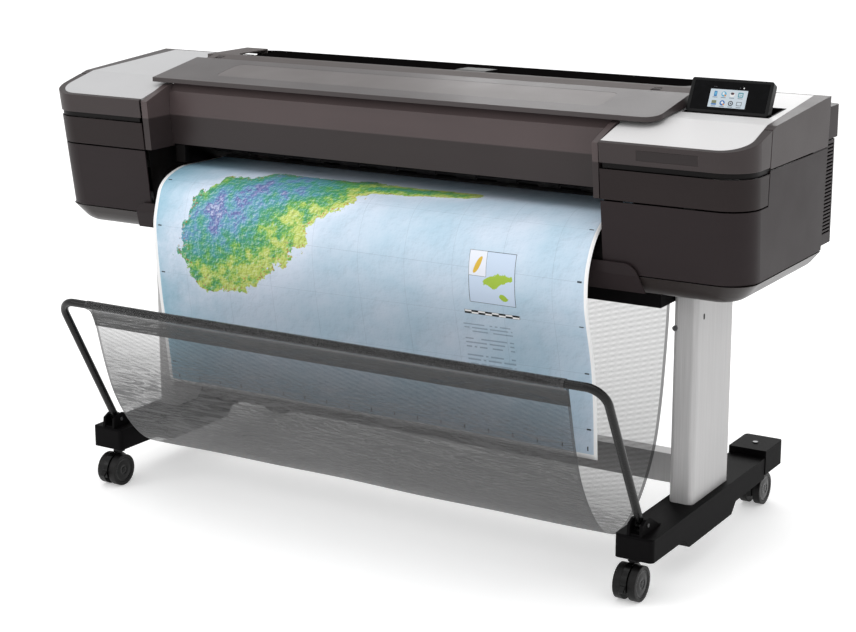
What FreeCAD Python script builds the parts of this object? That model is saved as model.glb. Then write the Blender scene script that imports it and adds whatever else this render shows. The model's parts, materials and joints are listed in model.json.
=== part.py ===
import FreeCAD, Part
import math
import os
import re
import Sketcher

# Large format plotter: two end housings joined by a print bay, on a wheeled
# stand with a mesh catch basket. Millimetres. X runs between the ends, Y from
# front to back, Z up from the floor. The origin lies on the floor, in the
# middle of the four casters. The machine is drawn at the height of a shorter
# stand and raised by machine_rise once it is complete.

DIMENSIONS = {
    # end housings
    "half_width": 884, "half_foot": 876, "left_inner": 604, "right_inner": 567,
    "wall": 3, "gap": 3.6, "corner": 68, "rim": 10, "insert_taper": 22,
    "front_top": -292, "front_foot": -258, "bend_y": -150, "side_back": 154,
    "band_top": 905, "bend_z": 943, "top_back": 966, "band_base": 864, "door_top": 853,
    "door_base": 787, "panel_base": 636, "base_under": 592, "split_y": -172,
    "base_side": 840, "base_front": -236, "base_round": 50,
    # print bay
    "bezel_left": -584, "bezel_right": 551, "bezel_y": -204, "bezel_top": 936,
    "bezel_bend": 918, "bezel_crease": 867, "bezel_foot": 794,
    "lid_left": -625, "lid_right": 655, "lid_front": -214, "lid_front_z": 949,
    "lid_back": -46, "lid_back_z": 979, "lid_hinge_y": -25, "lid_hinge_z": 978,
    "deck_top": 983, "deck_front": -5, "fascia_left": -648, "fascia_right": 646,
    "fascia_top": 661, "fascia_foot": 600, "paper_left": -560, "paper_right": 545,
    # carriage and feed
    "rail_y": -62, "rail_low": 800, "rail_high": 890, "rail_radius": 8,
    "carriage_x": 645, "carriage_half": 55, "belt_y": -42, "belt_z": 850,
    "belt_wide": 8, "pulley_radius": 12, "motor_x": 740, "idler_x": -585,
    "roller_y": -5, "roller_z": 722.5, "platen_top": 741, "roller_radius": 20, "pinch_radius": 7,
    "running": 0.05, "tooth_module": 1.5, "gear_teeth": 60, "pinion_teeth": 15,
    # media roll
    "roll_y": 215, "roll_z": 880, "roll_radius": 48, "core_radius": 38,
    "spindle_radius": 12, "rear_side": 850, "rear_foot": 628,
    # display
    "display_left": 662, "display_right": 838, "display_y": -87,
    "display_z": 949, "display_tall": 74, "display_thick": 18, "display_tilt": 62.5,
    # stand
    "machine_rise": 20, "leg_x": 690, "leg_wide": 55, "leg_front": -121, "leg_back": 76,
    "foot_x": 691, "foot_half": 43, "foot_front": -350, "foot_top": 140,
    "foot_under": 91, "foot_back": 252, "cap_back": 355, "cap_top": 156,
    "beam_under": 555, "caster_x": 681, "caster_y": 334, "caster_trail": 14,
    "wheel_radius": 37.5,
    "stem_radius": 5.5, "bail_x": 690, "bail_y": -317, "bail_z": 158,
    "bail_top_y": -492, "bail_top_z": 485, "tube_radius": 9, "basket_half": 606,
}

DOC = FreeCAD.newDocument("plotter")
SHEET = DOC.addObject("Spreadsheet::Sheet", "Sizes")
for row, (alias, amount) in enumerate(DIMENSIONS.items(), start=1):
    SHEET.set("A%d" % row, alias)
    SHEET.set("B%d" % row, str(amount))
    SHEET.setAlias("B%d" % row, alias)
DOC.recompute()

NODES = []
SIDES = ("left", "right")


def formula(text):
    """Turn the dimension names in a size into references to the sheet."""
    return re.sub(r"[a-z_]{3,}", lambda word: "Sizes." + word.group(0), str(text))


def number(text):
    """Work a size out from the sheet's present values."""
    return float(SHEET.evalExpression(formula(text)))


def node(label, shape):
    """Name a finished piece and put it on the list of files to write."""
    shape.Label = label
    NODES.append(shape)
    return shape


def bind(thing, size, text):
    thing.setExpression(size, formula(text))


def pair(label, make):
    """One node for the left and the right copy of a fixed piece."""
    return node(label, group(*[make(side) for side in SIDES]))


def box(x, y, z):
    """A block between two limits along each axis."""
    block = DOC.addObject("Part::Box", "block")
    for side, axis, (low, high) in zip(("Length", "Width", "Height"), "xyz", (x, y, z)):
        bind(block, side, "(%s) - (%s)" % (high, low))
        bind(block, "Placement.Base." + axis, low)
    return block


def rod(axis, centre, radius, low, high):
    """A cylinder along X, Y or Z; centre gives the two other coordinates."""
    bar = DOC.addObject("Part::Cylinder", "rod")
    turns = {"x": ((0, 1, 0), 90), "y": ((1, 0, 0), -90), "z": ((0, 0, 1), 0)}
    direction, angle = turns[axis]
    bar.Placement.Rotation = FreeCAD.Rotation(FreeCAD.Vector(*direction), angle)
    bind(bar, "Radius", radius)
    bind(bar, "Height", "(%s) - (%s)" % (high, low))
    others = [name for name in "xyz" if name != axis]
    bind(bar, "Placement.Base." + axis, low)
    for name, place in zip(others, centre):
        bind(bar, "Placement.Base." + name, place)
    return bar


def fuse(*pieces):
    whole = DOC.addObject("Part::MultiFuse", "fused")
    whole.Shapes = list(pieces)
    return whole


def group(*pieces):
    """Several separate solids kept in one node."""
    bundle = DOC.addObject("Part::Compound", "group")
    bundle.Links = list(pieces)
    return bundle


def cut(base, *tools):
    rest = DOC.addObject("Part::Cut", "cut")
    rest.Base = base
    rest.Tool = tools[0] if len(tools) == 1 else fuse(*tools)
    return rest


def common(base, tool):
    shared = DOC.addObject("Part::Common", "common")
    shared.Base = base
    shared.Tool = tool
    return shared


def across(side, near, far):
    """X limits on the left or the right of the machine."""
    return (near, far) if side == "right" else ("-(%s)" % far, "-(%s)" % near)


def profile(plane, outline, low, high):
    """Pad a closed outline of straight edges between two places on its axis."""
    body = DOC.addObject("PartDesign::Body", "body")
    sketch = body.newObject("Sketcher::SketchObject", "outline")
    roles = {"x": "YZ_Plane", "y": "XZ_Plane", "z": "XY_Plane"}
    origin = [feature for feature in body.Origin.OriginFeatures if feature.Role == roles[plane]]
    sketch.AttachmentSupport = [(origin[0], "")]
    sketch.MapMode = "FlatFace"
    start = "-(%s)" % high if plane == "y" else low
    bind(sketch, "AttachmentOffset.Base.z", start)
    corners = [FreeCAD.Vector(number(u), number(v), 0) for u, v in outline]
    for first, second in zip(corners, corners[1:] + corners[:1]):
        sketch.addGeometry(Part.LineSegment(first, second))
    for index, (u, v) in enumerate(outline):
        before = (index - 1) % len(outline)
        sketch.addConstraint(Sketcher.Constraint("Coincident", before, 2, index, 1))
        for kind, place in (("DistanceX", u), ("DistanceY", v)):
            slot = sketch.addConstraint(Sketcher.Constraint(kind, -1, 1, index, 1, number(place)))
            bind(sketch, "Constraints[%d]" % slot, place)
    pad = body.newObject("PartDesign::Pad", "pad")
    pad.Profile = sketch
    bind(pad, "Length", "(%s) - (%s)" % (high, low))
    DOC.recompute()
    return body


def rounded(body, radius, picks):
    """Fillet the body's edges that the test picks out."""
    names = ["Edge%d" % (place + 1) for place, edge in enumerate(body.Shape.Edges) if picks(edge)]
    if not names:
        raise RuntimeError("no edge to round by " + radius)
    pad = body.Tip
    fillet = body.newObject("PartDesign::Fillet", "fillet")
    fillet.Base = (pad, names)
    bind(fillet, "Radius", radius)
    DOC.recompute()
    return body


def near_line(axis, *points):
    """A test for straight edges along an axis, close to one of some points."""
    way = {"x": FreeCAD.Vector(1, 0, 0), "y": FreeCAD.Vector(0, 1, 0), "z": FreeCAD.Vector(0, 0, 1)}[axis]
    places = [FreeCAD.Vector(*[number(value) for value in point]) for point in points]

    def test(edge):
        middle = edge.CenterOfMass
        along = abs((edge.Vertexes[-1].Point - edge.Vertexes[0].Point).normalize().dot(way))
        flat = [(place - middle) - way * (place - middle).dot(way) for place in places]
        return along > 0.95 and any(offset.Length < 6 for offset in flat)
    return test


# ---- end housings ---------------------------------------------------------

def housing_blank(side, inset):
    """The outside form of an end housing above its base, shrunk by an inset."""
    top = "- %s" % inset
    outline = [("front_foot + %s" % inset, "panel_base + 1"), ("side_back + %s" % inset, "panel_base + 1"),
               ("side_back + %s" % inset, "top_back " + top), ("bend_y", "bend_z " + top),
               ("front_top + %s" % inset, "band_top " + top)]
    near = "%s_inner - %s" % (side, inset)
    low, high = across(side, near, "half_width - %s" % inset)
    body = profile("x", outline, low, high)
    sign = "" if side == "right" else "-"
    lean = [("%s(half_foot - %s)" % (sign, inset), "panel_base"), (sign + "(half_width + 20)", "panel_base"),
            (sign + "(half_width + 20)", "top_back"), ("%s(half_width - %s)" % (sign, inset), "top_back")]
    wedge = profile("y", lean, "front_top - 40", "side_back + 40")
    shape = cut(body, wedge)
    DOC.recompute()
    fillet = DOC.addObject("Part::Fillet", "corner")
    fillet.Base = shape
    place = (number(sign + "(half_foot - %s)" % inset), number("front_foot + %s" % inset))
    picks = []
    for index, edge in enumerate(shape.Shape.Edges, start=1):
        foot = min((vertex.Point for vertex in edge.Vertexes), key=lambda point: point.z)
        rises = abs(edge.Vertexes[0].Point.z - edge.Vertexes[-1].Point.z) > 150
        if rises and abs(foot.x - place[0]) < 2 and foot.y < place[1] + 5:
            radius = number("corner - %s" % inset)
            picks.append((index, radius, radius))
    fillet.Edges = picks
    return fillet


def shell_part(side, deep, tall):
    """The part of a housing's shell between limits along Y and Z."""
    wide = across(side, "%s_inner - 1" % side, "half_width + 5")
    shell = cut(housing_blank(side, "0"), housing_blank(side, "wall"))
    return common(shell, box(wide, deep, tall))


def lower_panel(side):
    """The big panel round the housing's corner, stepped up behind the door."""
    wide = across(side, "%s_inner - 1" % side, "half_width + 5")
    shell = cut(housing_blank(side, "0"), housing_blank(side, "wall"))
    step = fuse(box(wide, ("front_top - 10", "side_back + 1"), ("panel_base", "door_base - gap / 2")),
                box(wide, ("split_y + gap / 2", "side_back + 1"), ("panel_base", "door_top + gap")))
    return common(shell, step)


def ink_door(side):
    """The door over the cartridges, which wraps round the corner."""
    node("%s_ink_door" % side, shell_part(side, ("front_top - 10", "split_y - gap / 2"),
                                          ("door_base + gap / 2", "door_top - gap / 2")))


def top_covers(side):
    """The front band and the taller side cover behind it, open for the insert."""
    insert = insert_plan(side, "0.3")
    band = shell_part(side, ("front_top - 10", "split_y - gap / 2"), ("band_base", "top_back + 5"))
    cover = shell_part(side, ("split_y + gap / 2", "side_back + 1"), ("door_top + gap * 2", "top_back + 5"))
    if side == "right":
        band = cut(band, nameplate_block("0"))
    return group(cut(band, insert), cut(cover, insert))


def insert_plan(side, grow):
    """A tall block with the plan of the top insert, rounded at its outer corner."""
    low, high = across(side, "%s_inner - %s * 5" % (side, grow), "half_width - 4 - rim + %s" % grow)
    front, back = "front_top + rim - %s" % grow, "side_back - 6 + %s" % grow
    outer, inner = (high, low) if side == "right" else (low, high)
    narrow = "%s %s insert_taper" % (outer, "-" if side == "right" else "+")
    body = profile("z", [(inner, front), (outer, front), (narrow, back), (inner, back)],
                   "door_top + 20", "top_back + 20")
    return rounded(body, "corner - rim", near_line("z", (outer, front, 0)))


def top_insert(side):
    """The pale insert that fills the housing's top between its dark rims."""
    skin = cut(housing_blank(side, "0"), housing_blank(side, "wall - 0.5"))
    plate = common(skin, insert_plan(side, "0"))
    if side == "left":
        return plate
    return cut(plate, box(("display_left - 5.3", "display_right + 5.3"), ("display_y - 6.3", "4.3"),
                          ("door_top", "top_back + 20")))


def pan_blank(side, inset, lift):
    """The outside form of the tub under a housing, shrunk by an inset and lifted."""
    foot, roof = "base_under + %s" % lift, "panel_base - 1.5 + %s" % lift
    outline = [("front_foot + %s" % inset, roof), ("base_front + %s" % inset, foot),
               ("side_back - %s" % inset, foot), ("side_back - %s" % inset, roof)]
    inner = "%s_inner - %s * 2" % (side, inset)
    body = profile("x", outline, *across(side, inner, "half_foot - %s" % inset))
    sign = "" if side == "right" else "-"
    lean = [("%s(base_side - %s)" % (sign, inset), foot), (sign + "(half_width)", foot),
            (sign + "(half_width)", roof), ("%s(half_foot - %s)" % (sign, inset), roof)]
    shape = cut(body, profile("y", lean, "front_top", "side_back + 20"))
    DOC.recompute()
    return round_pan(shape.Shape, sign, inset, number(foot), number(inner))


def round_pan(solid, sign, inset, floor, inner):
    """Round the tub's front outer corner, then its lower edges except the plain ends."""
    outer = number("%s(base_side - %s)" % (sign, inset))
    front, back = number("base_front + %s" % inset), number("side_back - %s" % inset)
    tall = [edge for edge in solid.Edges
            if min(abs(v.X - outer) + abs(v.Y - front) for v in edge.Vertexes) < 1
            and abs(edge.Vertexes[0].Z - edge.Vertexes[-1].Z) > 20]
    solid = solid.makeFillet(number("corner + 8 - %s" % inset), tall)
    under = [edge for edge in solid.Edges if all(abs(v.Z - floor) < 0.1 for v in edge.Vertexes)
             and abs(edge.CenterOfMass.y - back) > 2 and abs(abs(edge.CenterOfMass.x) - inner) > 2]
    return solid.makeFillet(number("base_round - %s" % inset), under)


def base_pan(side):
    """The rounded tub that closes the housing underneath."""
    pan = DOC.addObject("Part::Feature", "pan")
    pan.Shape = pan_blank(side, "0", "0").cut(pan_blank(side, "wall", "wall"))
    return pan


def cheek(side):
    """The thick lip between the housing and the print bay, in front of the bezel."""
    low, high = ("bezel_right", "right_inner - 3") if side == "right" else ("-left_inner + 3", "bezel_left")
    outline = [("front_top + 16", "door_base + 2"), ("bezel_y + 14", "door_base + 2"),
               ("bezel_y + 14", "bezel_top"), ("bezel_y + 1", "bezel_top - 2"),
               ("front_top + 4", "band_top - 2")]
    return profile("x", outline, low, high)


def end_frame(side):
    """The steel plate that carries the rails and rollers at one end."""
    low, high = across(side, "%s_inner + 1" % side, "%s_inner + 4" % side)
    outline = [("-205", "base_under + 8"), ("-240", "640"), ("-262", "door_base"), ("-265", "890"),
               ("-150", "930"), ("150", "938"), ("150", "base_under + 6")]
    plate = profile("x", outline, low, high)
    holes = [rod("x", ("rail_y", "rail_low"), "rail_radius", low + "- 1", high + "+ 1"),
             rod("x", ("rail_y", "rail_high"), "rail_radius", low + "- 1", high + "+ 1"),
             box((low + "- 1", high + "+ 1"), ("belt_y - 14", "belt_y + 8"), ("belt_z - 16", "belt_z + 34")),
             rod("x", ("roller_y", "roller_z"), "10 + running", low + "- 1", high + "+ 1"),
             rod("x", ("roller_y", "roller_z + roller_radius + pinch_radius + 1"),
                 "3 + running", low + "- 1", high + "+ 1")]
    if side == "right":
        # the carriage runs through this plate to its parking place
        holes.append(box((low + "- 1", high + "+ 1"), ("-182", "-48"), ("688", "912")))
    return cut(plate, *holes)


def ink_cartridges(side):
    """Three ink cartridges in a row behind one door."""
    sign = "" if side == "right" else "-"
    tanks = []
    for slot in range(3):
        middle = "%s(742 + %d)" % (sign, slot * 40)
        tanks.append(box((middle + "- 18", middle + "+ 18"), ("-262", "-90"),
                         ("door_base + 6", "door_top - 8")))
    return group(*tanks)


def cartridge_bay(side):
    """The shelf and back wall that the cartridges plug into."""
    low, high = across(side, "718", "846")
    shelf = box((low, high), ("-262", "-80"), ("door_base", "door_base + 5"))
    back = box((low, high), ("-88", "-80"), ("door_base + 5", "door_top"))
    return fuse(shelf, back)


def gap_liner(side):
    """The band of sheet that closes the gap over the door from inside."""
    shell = cut(housing_blank(side, "(wall + 0.5)"), housing_blank(side, "(wall + 2)"))
    wide = across(side, "%s_inner + 6" % side, "half_width + 5")
    return common(shell, box(wide, ("front_top - 10", "split_y + gap"), ("door_top", "band_base + 8")))


# ---- rear -----------------------------------------------------------------

def rear_block(side):
    """The square shoulder behind the housing, over the louvred corner."""
    low, high = across(side, "604", "rear_side")
    solid = profile("z", [(low, "158"), (high, "158"), (high, "313"), (low, "313")], "859", "929")
    outer = high if side == "right" else low
    rounded(solid, "14", near_line("z", (outer, "313", 0)))
    inner = box((low + "+ wall", high + "- wall"), ("150", "310"), ("858", "926"))
    return cut(solid, inner)


def rear_corner(side):
    """The lower rear corner shell, with a row of vent slots in its side."""
    low, high = across(side, "604", "rear_side - 2")
    solid = profile("z", [(low, "158"), (high, "158"), (high, "300"), (low, "300")], "rear_foot", "855")
    outer = high if side == "right" else low
    rounded(solid, "12", near_line("z", (outer, "300", 0)))
    inner = box((low + "+ wall", high + "- wall"), ("150", "297"), ("rear_foot + 3", "856"))
    wide = across(side, "rear_side - 8", "rear_side + 2")
    slots = [box(wide, ("172", "284"), ("%d" % level, "%d" % (level + 4))) for level in range(652, 848, 8)]
    return cut(solid, inner, *slots)


def rear_panel():
    """The flat sheet across the back, with the inlet and switch openings."""
    sheet = box(("-603", "603"), ("292", "295"), ("rear_foot", "838"))
    inlet = box(("-525", "-475"), ("290", "297"), ("650", "682"))
    switch = box(("-456", "-434"), ("290", "297"), ("651", "681"))
    node("rear_panel", cut(sheet, inlet, switch))
    housing = box(("-524.7", "-475.3"), ("272", "299"), ("650.3", "681.7"))
    socket = box(("-520", "-480"), ("282", "300"), ("655", "677"))
    blades = [box((place, place + "+ 2"), ("281", "294"), ("663", "669"))
              for place in ("-511", "-501", "-491")]
    frame = cut(box(("-455.7", "-434.3"), ("280", "297"), ("651.3", "680.7")),
                box(("-453.5", "-436.5"), ("279", "298"), ("653.5", "678.5")))
    node("power_inlet", group(fuse(cut(housing, socket), *blades), frame))
    rocker = cut(rod("x", ("289", "666"), "11.8", "-453.2", "-436.8"),
                 box(("-460", "-430"), ("300.2", "310"), ("640", "690")))
    rocker = cut(rocker, box(("-460", "-430"), ("270", "285"), ("640", "690")))
    node("power_switch", rocker)


def roll_bay():
    """The tray under the media roll, and the two plates that hold its spindle."""
    tray = fuse(box(("-600", "600"), ("160", "288"), ("815", "818")),
                box(("-600", "600"), ("285", "288"), ("818", "846")),
                box(("-600", "600"), ("160", "163"), ("818", "846")))
    plates = [tray]
    for low, high in (("-604", "-596"), ("586", "594")):
        plate = box((low, high), ("186", "244"), ("819", "910"))
        plates.append(cut(plate, rod("x", ("roll_y", "roll_z"), "spindle_radius + running",
                                     low + "- 1", high + "+ 1")))
    node("roll_cradle", group(*plates))


def media_roll():
    """The loaded roll of paper, its two hubs and the spindle through them."""
    centre = ("roll_y", "roll_z")
    hubs = [rod("x", centre, "spindle_radius", "-603.5", "600")]
    for flange, plug in ((("-582", "-567"), ("-567", "-530")), (("553", "568"), ("516", "553"))):
        disc = fuse(rod("x", centre, "roll_radius + 9", *flange), rod("x", centre, "core_radius - 3", *plug))
        hubs.append(cut(disc, rod("x", centre, "spindle_radius", "-600", "600")))
    node("roll_spindle", group(*hubs))
    core = cut(rod("x", centre, "core_radius", "-566.5", "552.5"),
               rod("x", centre, "core_radius - 3", "-570", "560"))
    paper = cut(rod("x", centre, "roll_radius", "-566", "552"),
                rod("x", centre, "core_radius", "-570", "560"))
    node("paper_roll", group(core, paper))


def roll_cover():
    """The lifting cover over the roll: a closed-ended curved shell."""
    outer = [("40", "969"), ("40", "974"), ("54", "977"), ("170", "976"), ("252", "967"),
             ("298", "948"), ("309", "934"), ("305", "934")]
    inner = [("43", "955"), ("43", "972"), ("55", "974"), ("170", "973"), ("251", "964"),
             ("295.5", "946"), ("305.5", "934"), ("304", "930")]
    shell = cut(profile("x", outer, "-598", "600"), profile("x", inner, "-595", "597"))
    end_wall = common(profile("x", outer, "-540", "-537"),
                      box(("-541", "-536"), ("30", "160"), ("953", "990")))
    corner = box(("-600", "-540"), ("30", "158"), ("900", "990"))
    under = box(("-599", "601"), ("30", "158"), ("900", "969"))
    node("roll_cover", fuse(cut(shell, corner, under), end_wall))
    grip = [("31", "975"), ("39.5", "969.5"), ("39.5", "974.5"), ("54", "977.5"), ("100", "977.2"),
            ("100", "980"), ("52", "981"), ("34", "979")]
    node("roll_cover_handle", profile("x", grip, "40", "118"))


# ---- print bay ------------------------------------------------------------

def bezel():
    """The fixed front of the print bay: a level bevel, a face and a slanted foot."""
    front = [("bezel_y + 16", "bezel_top"), ("bezel_y", "bezel_bend"), ("bezel_y - 2", "bezel_crease"),
             ("bezel_y + 8", "bezel_foot")]
    back = [("bezel_y + 11", "bezel_foot"), ("bezel_y + 1.5", "bezel_crease"),
            ("bezel_y + 3.5", "bezel_bend"), ("bezel_y + 19", "bezel_top")]
    face = profile("x", front + back, "bezel_left + 0.5", "bezel_right - 0.5")
    node("front_bezel", group(face, *[cheek(side) for side in SIDES]))


def lid():
    """The lifting lid with side skirts, rounded at its front right corner."""
    def blank(inset):
        outline = [("lid_front + %s" % inset, "939 - %s" % inset), ("bend_y - 4", "947 - %s * 2" % inset),
                   ("lid_back + %s / 2" % inset, "954.5 - %s * 2" % inset),
                   ("lid_back + %s / 2" % inset, "lid_back_z - %s" % inset),
                   ("lid_front + %s" % inset, "lid_front_z - %s" % inset)]
        body = profile("x", outline, "lid_left + %s" % inset, "lid_right - %s" % inset)
        return rounded(body, "34 - %s" % inset,
                       near_line("z", ("lid_right - %s" % inset, "lid_front + %s" % inset, 0)))
    pocket = inlay_block("0", "-1", "3")
    knuckles = [rod("x", ("lid_hinge_y", "lid_hinge_z"), "4", place + "- 9", place + "+ 9")
                for place in ("-570", "570")]
    arms = [box((place + "- 9", place + "+ 9"), ("lid_back - 6", "lid_hinge_y"), ("974", "978"))
            for place in ("-570", "570")]
    bores = [rod("x", ("lid_hinge_y", "lid_hinge_z"), "2 + running", place + "- 12", place + "+ 12")
             for place in ("-570", "570")]
    shell = cut(blank("0"), blank("wall"))
    node("lid", cut(fuse(shell, *(knuckles + arms)), pocket, *bores))
    node("lid_inlay", inlay_block("0.4", "-1", "-0.1"))


def inlay_block(clear, depth, top):
    """A thin slanted plate let into the lid's top, with rounded corners in plan."""
    rise = "(lid_back_z - lid_front_z) / (lid_back - lid_front)"
    front, back = "-168 + %s" % clear, "-76 - %s" % clear
    left, right = "-478 + %s" % clear, "508 - %s" % clear
    outline = [(y, "lid_front_z + (%s - lid_front) * %s + %s" % (y, rise, lift))
               for y, lift in ((front, depth), (back, depth), (back, top), (front, top))]
    plan = profile("z", [(left, front), (right, front), (right, back), (left, back)],
                   "band_top", "top_back + 60")
    rounded(plan, "18", near_line("z", *[(x, y, 0) for x in (left, right) for y in (front, back)]))
    return common(profile("x", outline, left, right), plan)


def lid_hinge():
    """The rail behind the lid, notched for the knuckles, with its two pins."""
    rail = profile("x", [("lid_back + 4", "972"), ("deck_front - 1", "974"),
                         ("deck_front - 1", "deck_top + 2"), ("lid_back + 4", "lid_back_z - 1")],
                   "-600", "lid_right")
    notches = [box((place + "- 10", place + "+ 10"), ("lid_back - 6", "-18"), ("960", "990"))
               for place in ("-570", "570")]
    pins = [rod("x", ("lid_hinge_y", "lid_hinge_z"), "2", place + "- 18", place + "+ 18")
            for place in ("-570", "570")]
    node("lid_rail", group(cut(rail, *(notches + pins)), *pins))


def top_deck():
    """The deck behind the lid, with the trough that the roll cover sits in."""
    blank = profile("x", [("deck_front", "957"), ("154", "969.5"), ("154", "deck_top"),
                          ("deck_front", "deck_top")], "lid_left", "lid_right")
    hollow = profile("x", [("deck_front + 3", "940"), ("151", "940"), ("151", "deck_top - 3"),
                           ("deck_front + 3", "deck_top - 3")], "lid_left + 3", "lid_right - 3")
    opening = profile("z", [("-562", "18"), ("622", "18"), ("622", "160"), ("-562", "160")],
                      "900", "deck_top + 5")
    rounded(opening, "30", near_line("z", ("-562", "18", 0), ("622", "18", 0)))
    floor = box(("-590", "right_inner - 7"), ("0", "150"), ("948", "951"))
    node("top_deck", group(cut(blank, hollow, opening), floor))


def output_front():
    """The platen, the ribbed apron under the print and the fascia below it."""
    bed = box(("-575", "545"), ("-180", "-32"), ("708", "platen_top"))
    grooves = [box(("-576", "546"), ("%d" % place, "%d" % (place + 6)), ("platen_top - 2", "platen_top + 1"))
               for place in (-165, -145, -125, -105, -85, -65)]
    platen = cut(bed, *grooves)
    apron = [("-184", "741"), ("-212", "730"), ("-252", "672"), ("-252", "622"), ("-248", "622"),
             ("-248", "670"), ("-209", "726"), ("-184", "736")]
    rib = [("-190", "739"), ("-214", "733"), ("-256", "674"), ("-251", "671"), ("-211", "728")]
    ribs = [profile("x", rib, "%d" % place, "%d" % (place + 4)) for place in range(-560, 541, 55)]
    node("output_guides", group(platen, fuse(profile("x", apron, "-598", "563"), *ribs)))
    fascia()


def fascia():
    """The low front cover: a bent strip with rounded upper corners."""
    section = [("-268.5", "fascia_top"), ("-265", "636"), ("-253", "fascia_foot"), ("-248", "fascia_foot"),
               ("-260.5", "637"), ("-264", "fascia_top")]
    corners = [("fascia_left + 4", "fascia_top"), ("fascia_right - 6", "fascia_top")]
    front = profile("y", corners + [("fascia_right + 12", "fascia_foot"), ("fascia_left", "fascia_foot")],
                    "-280", "-240")
    rounded(front, "34", near_line("y", *[(x, 0, z) for x, z in corners]))
    node("output_fascia", common(profile("x", section, "fascia_left", "fascia_right + 12"), front))


def carriage():
    """The carriage on its two rails, the heads, the belt drive and the strip."""
    low, high = "carriage_x - carriage_half", "carriage_x + carriage_half"
    body = fuse(box((low, high), ("-168", "-80"), ("platen_top + 15", "900")),
                box((low, high), ("-80", "-52"), ("786", "904")))
    bores = [rod("x", ("rail_y", place), "rail_radius + running", low + "- 1", high + "+ 1")
             for place in ("rail_low", "rail_high")]
    tunnel = box((low + "- 1", high + "+ 1"), ("-74", "-51"), ("rail_low + 14", "rail_high - 14"))
    heads = [box(("carriage_x + %d" % place, "carriage_x + %d" % (place + 44)), ("-160", "-92"),
                 ("platen_top + 7", "platen_top + 15"))
             for place in (-48, 4)]
    node("carriage", group(cut(body, tunnel, *bores), *heads))


def carriage_rails():
    """The two rails with their end plate, the idler bracket, the strip and the cutter's rail."""
    rails = [rod("x", ("rail_y", place), "rail_radius", "-608", "735")
             for place in ("rail_low", "rail_high")]
    plate = cut(box(("720", "724"), ("-78", "36"), ("784", "908")), *rails,
                box(("719", "725"), ("belt_y - 12", "belt_y + 9"), ("belt_z - 16", "belt_z + 16")))
    strip = box(("-600", "716"), ("-49.8", "-49.3"), ("870", "882"))
    back, front = "belt_y + belt_wide / 2", "belt_y - belt_wide / 2"
    bracket = fuse(rod("y", ("idler_x", "belt_z"), "3", front + "- 2", back + "+ 6"),
                   box(("-604.5", "idler_x + 8"), (back + "+ 6", back + "+ 10"),
                       ("belt_z - 14", "belt_z + 14")))
    cutter_rail = box(("-598", "563"), ("-189", "-184.5"), ("797", "810"))
    node("carriage_rails", group(*rails, plate, strip, bracket, cutter_rail))


def belt_drive():
    """The toothed belt loop and its two pulleys; returns the motor that turns it."""
    back, front = "belt_y + belt_wide / 2", "belt_y - belt_wide / 2"

    def loop(radius):
        ends = [rod("y", (place, "belt_z"), radius, front, back) for place in ("idler_x", "motor_x")]
        runs = box(("idler_x", "motor_x"), (front, back), ("belt_z - " + radius, "belt_z + " + radius))
        return fuse(runs, *ends)
    node("carriage_belt", cut(loop("(pulley_radius + 1.6)"), loop("(pulley_radius + 0.4)")))
    node("idler_pulley", cut(rod("y", ("idler_x", "belt_z"), "pulley_radius", front, back),
                             rod("y", ("idler_x", "belt_z"), "3 + running", front + "- 1", back + "+ 1")))
    node("motor_pulley", fuse(rod("y", ("motor_x", "belt_z"), "pulley_radius", front, back),
                              rod("y", ("motor_x", "belt_z"), "3", back, "-10")))
    can = fuse(rod("y", ("motor_x", "belt_z"), "24", "-26", "34"),
               box(("720", "762"), ("-30", "-26"), ("belt_z - 26", "belt_z + 26")))
    return cut(can, rod("y", ("motor_x", "belt_z"), "3 + running", "-40", "-5"),
               box(("710", "724.5"), ("-40", "36"), ("784", "908")))


def feed():
    """The drive roller with its gear, the feed motor and the pinch rollers."""
    centre = ("roller_y", "roller_z")
    node("drive_roller", fuse(rod("x", centre, "roller_radius", "-572", "542"),
                              rod("x", centre, "10", "-626", "580")))
    place = number("roller_y"), number("roller_z")
    pitch = number("tooth_module") / 2
    teeth, small = int(number("gear_teeth")), int(number("pinion_teeth"))
    gear = gear_shape(teeth, "-636", "-626", place, 0)
    node("drive_gear", gear)
    apart = pitch * (teeth + small)
    motor = place[0] + apart, place[1]
    # an odd number of teeth leaves a gap facing the gear without any turn
    pinion = gear_shape(small, "-637", "-625", motor, 0)
    spot = ("%s" % motor[0], "%s" % motor[1])
    node("motor_pinion", fuse(pinion, rod("x", spot, "3", "-660", "-637")))
    motor_can = cut(rod("x", spot, "21", "-700", "-645"), rod("x", spot, "3 + running", "-665", "-640"))
    node("drive_motors", group(belt_drive(), motor_can))
    above = "roller_z + roller_radius + pinch_radius + 1"
    tyres = [rod("x", ("roller_y", above), "pinch_radius", "%d" % start, "%d" % (start + 50))
             for start in range(-555, 500, 105)]
    node("pinch_rollers", fuse(rod("x", ("roller_y", above), "3", "-609", "572"), *tyres))


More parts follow.
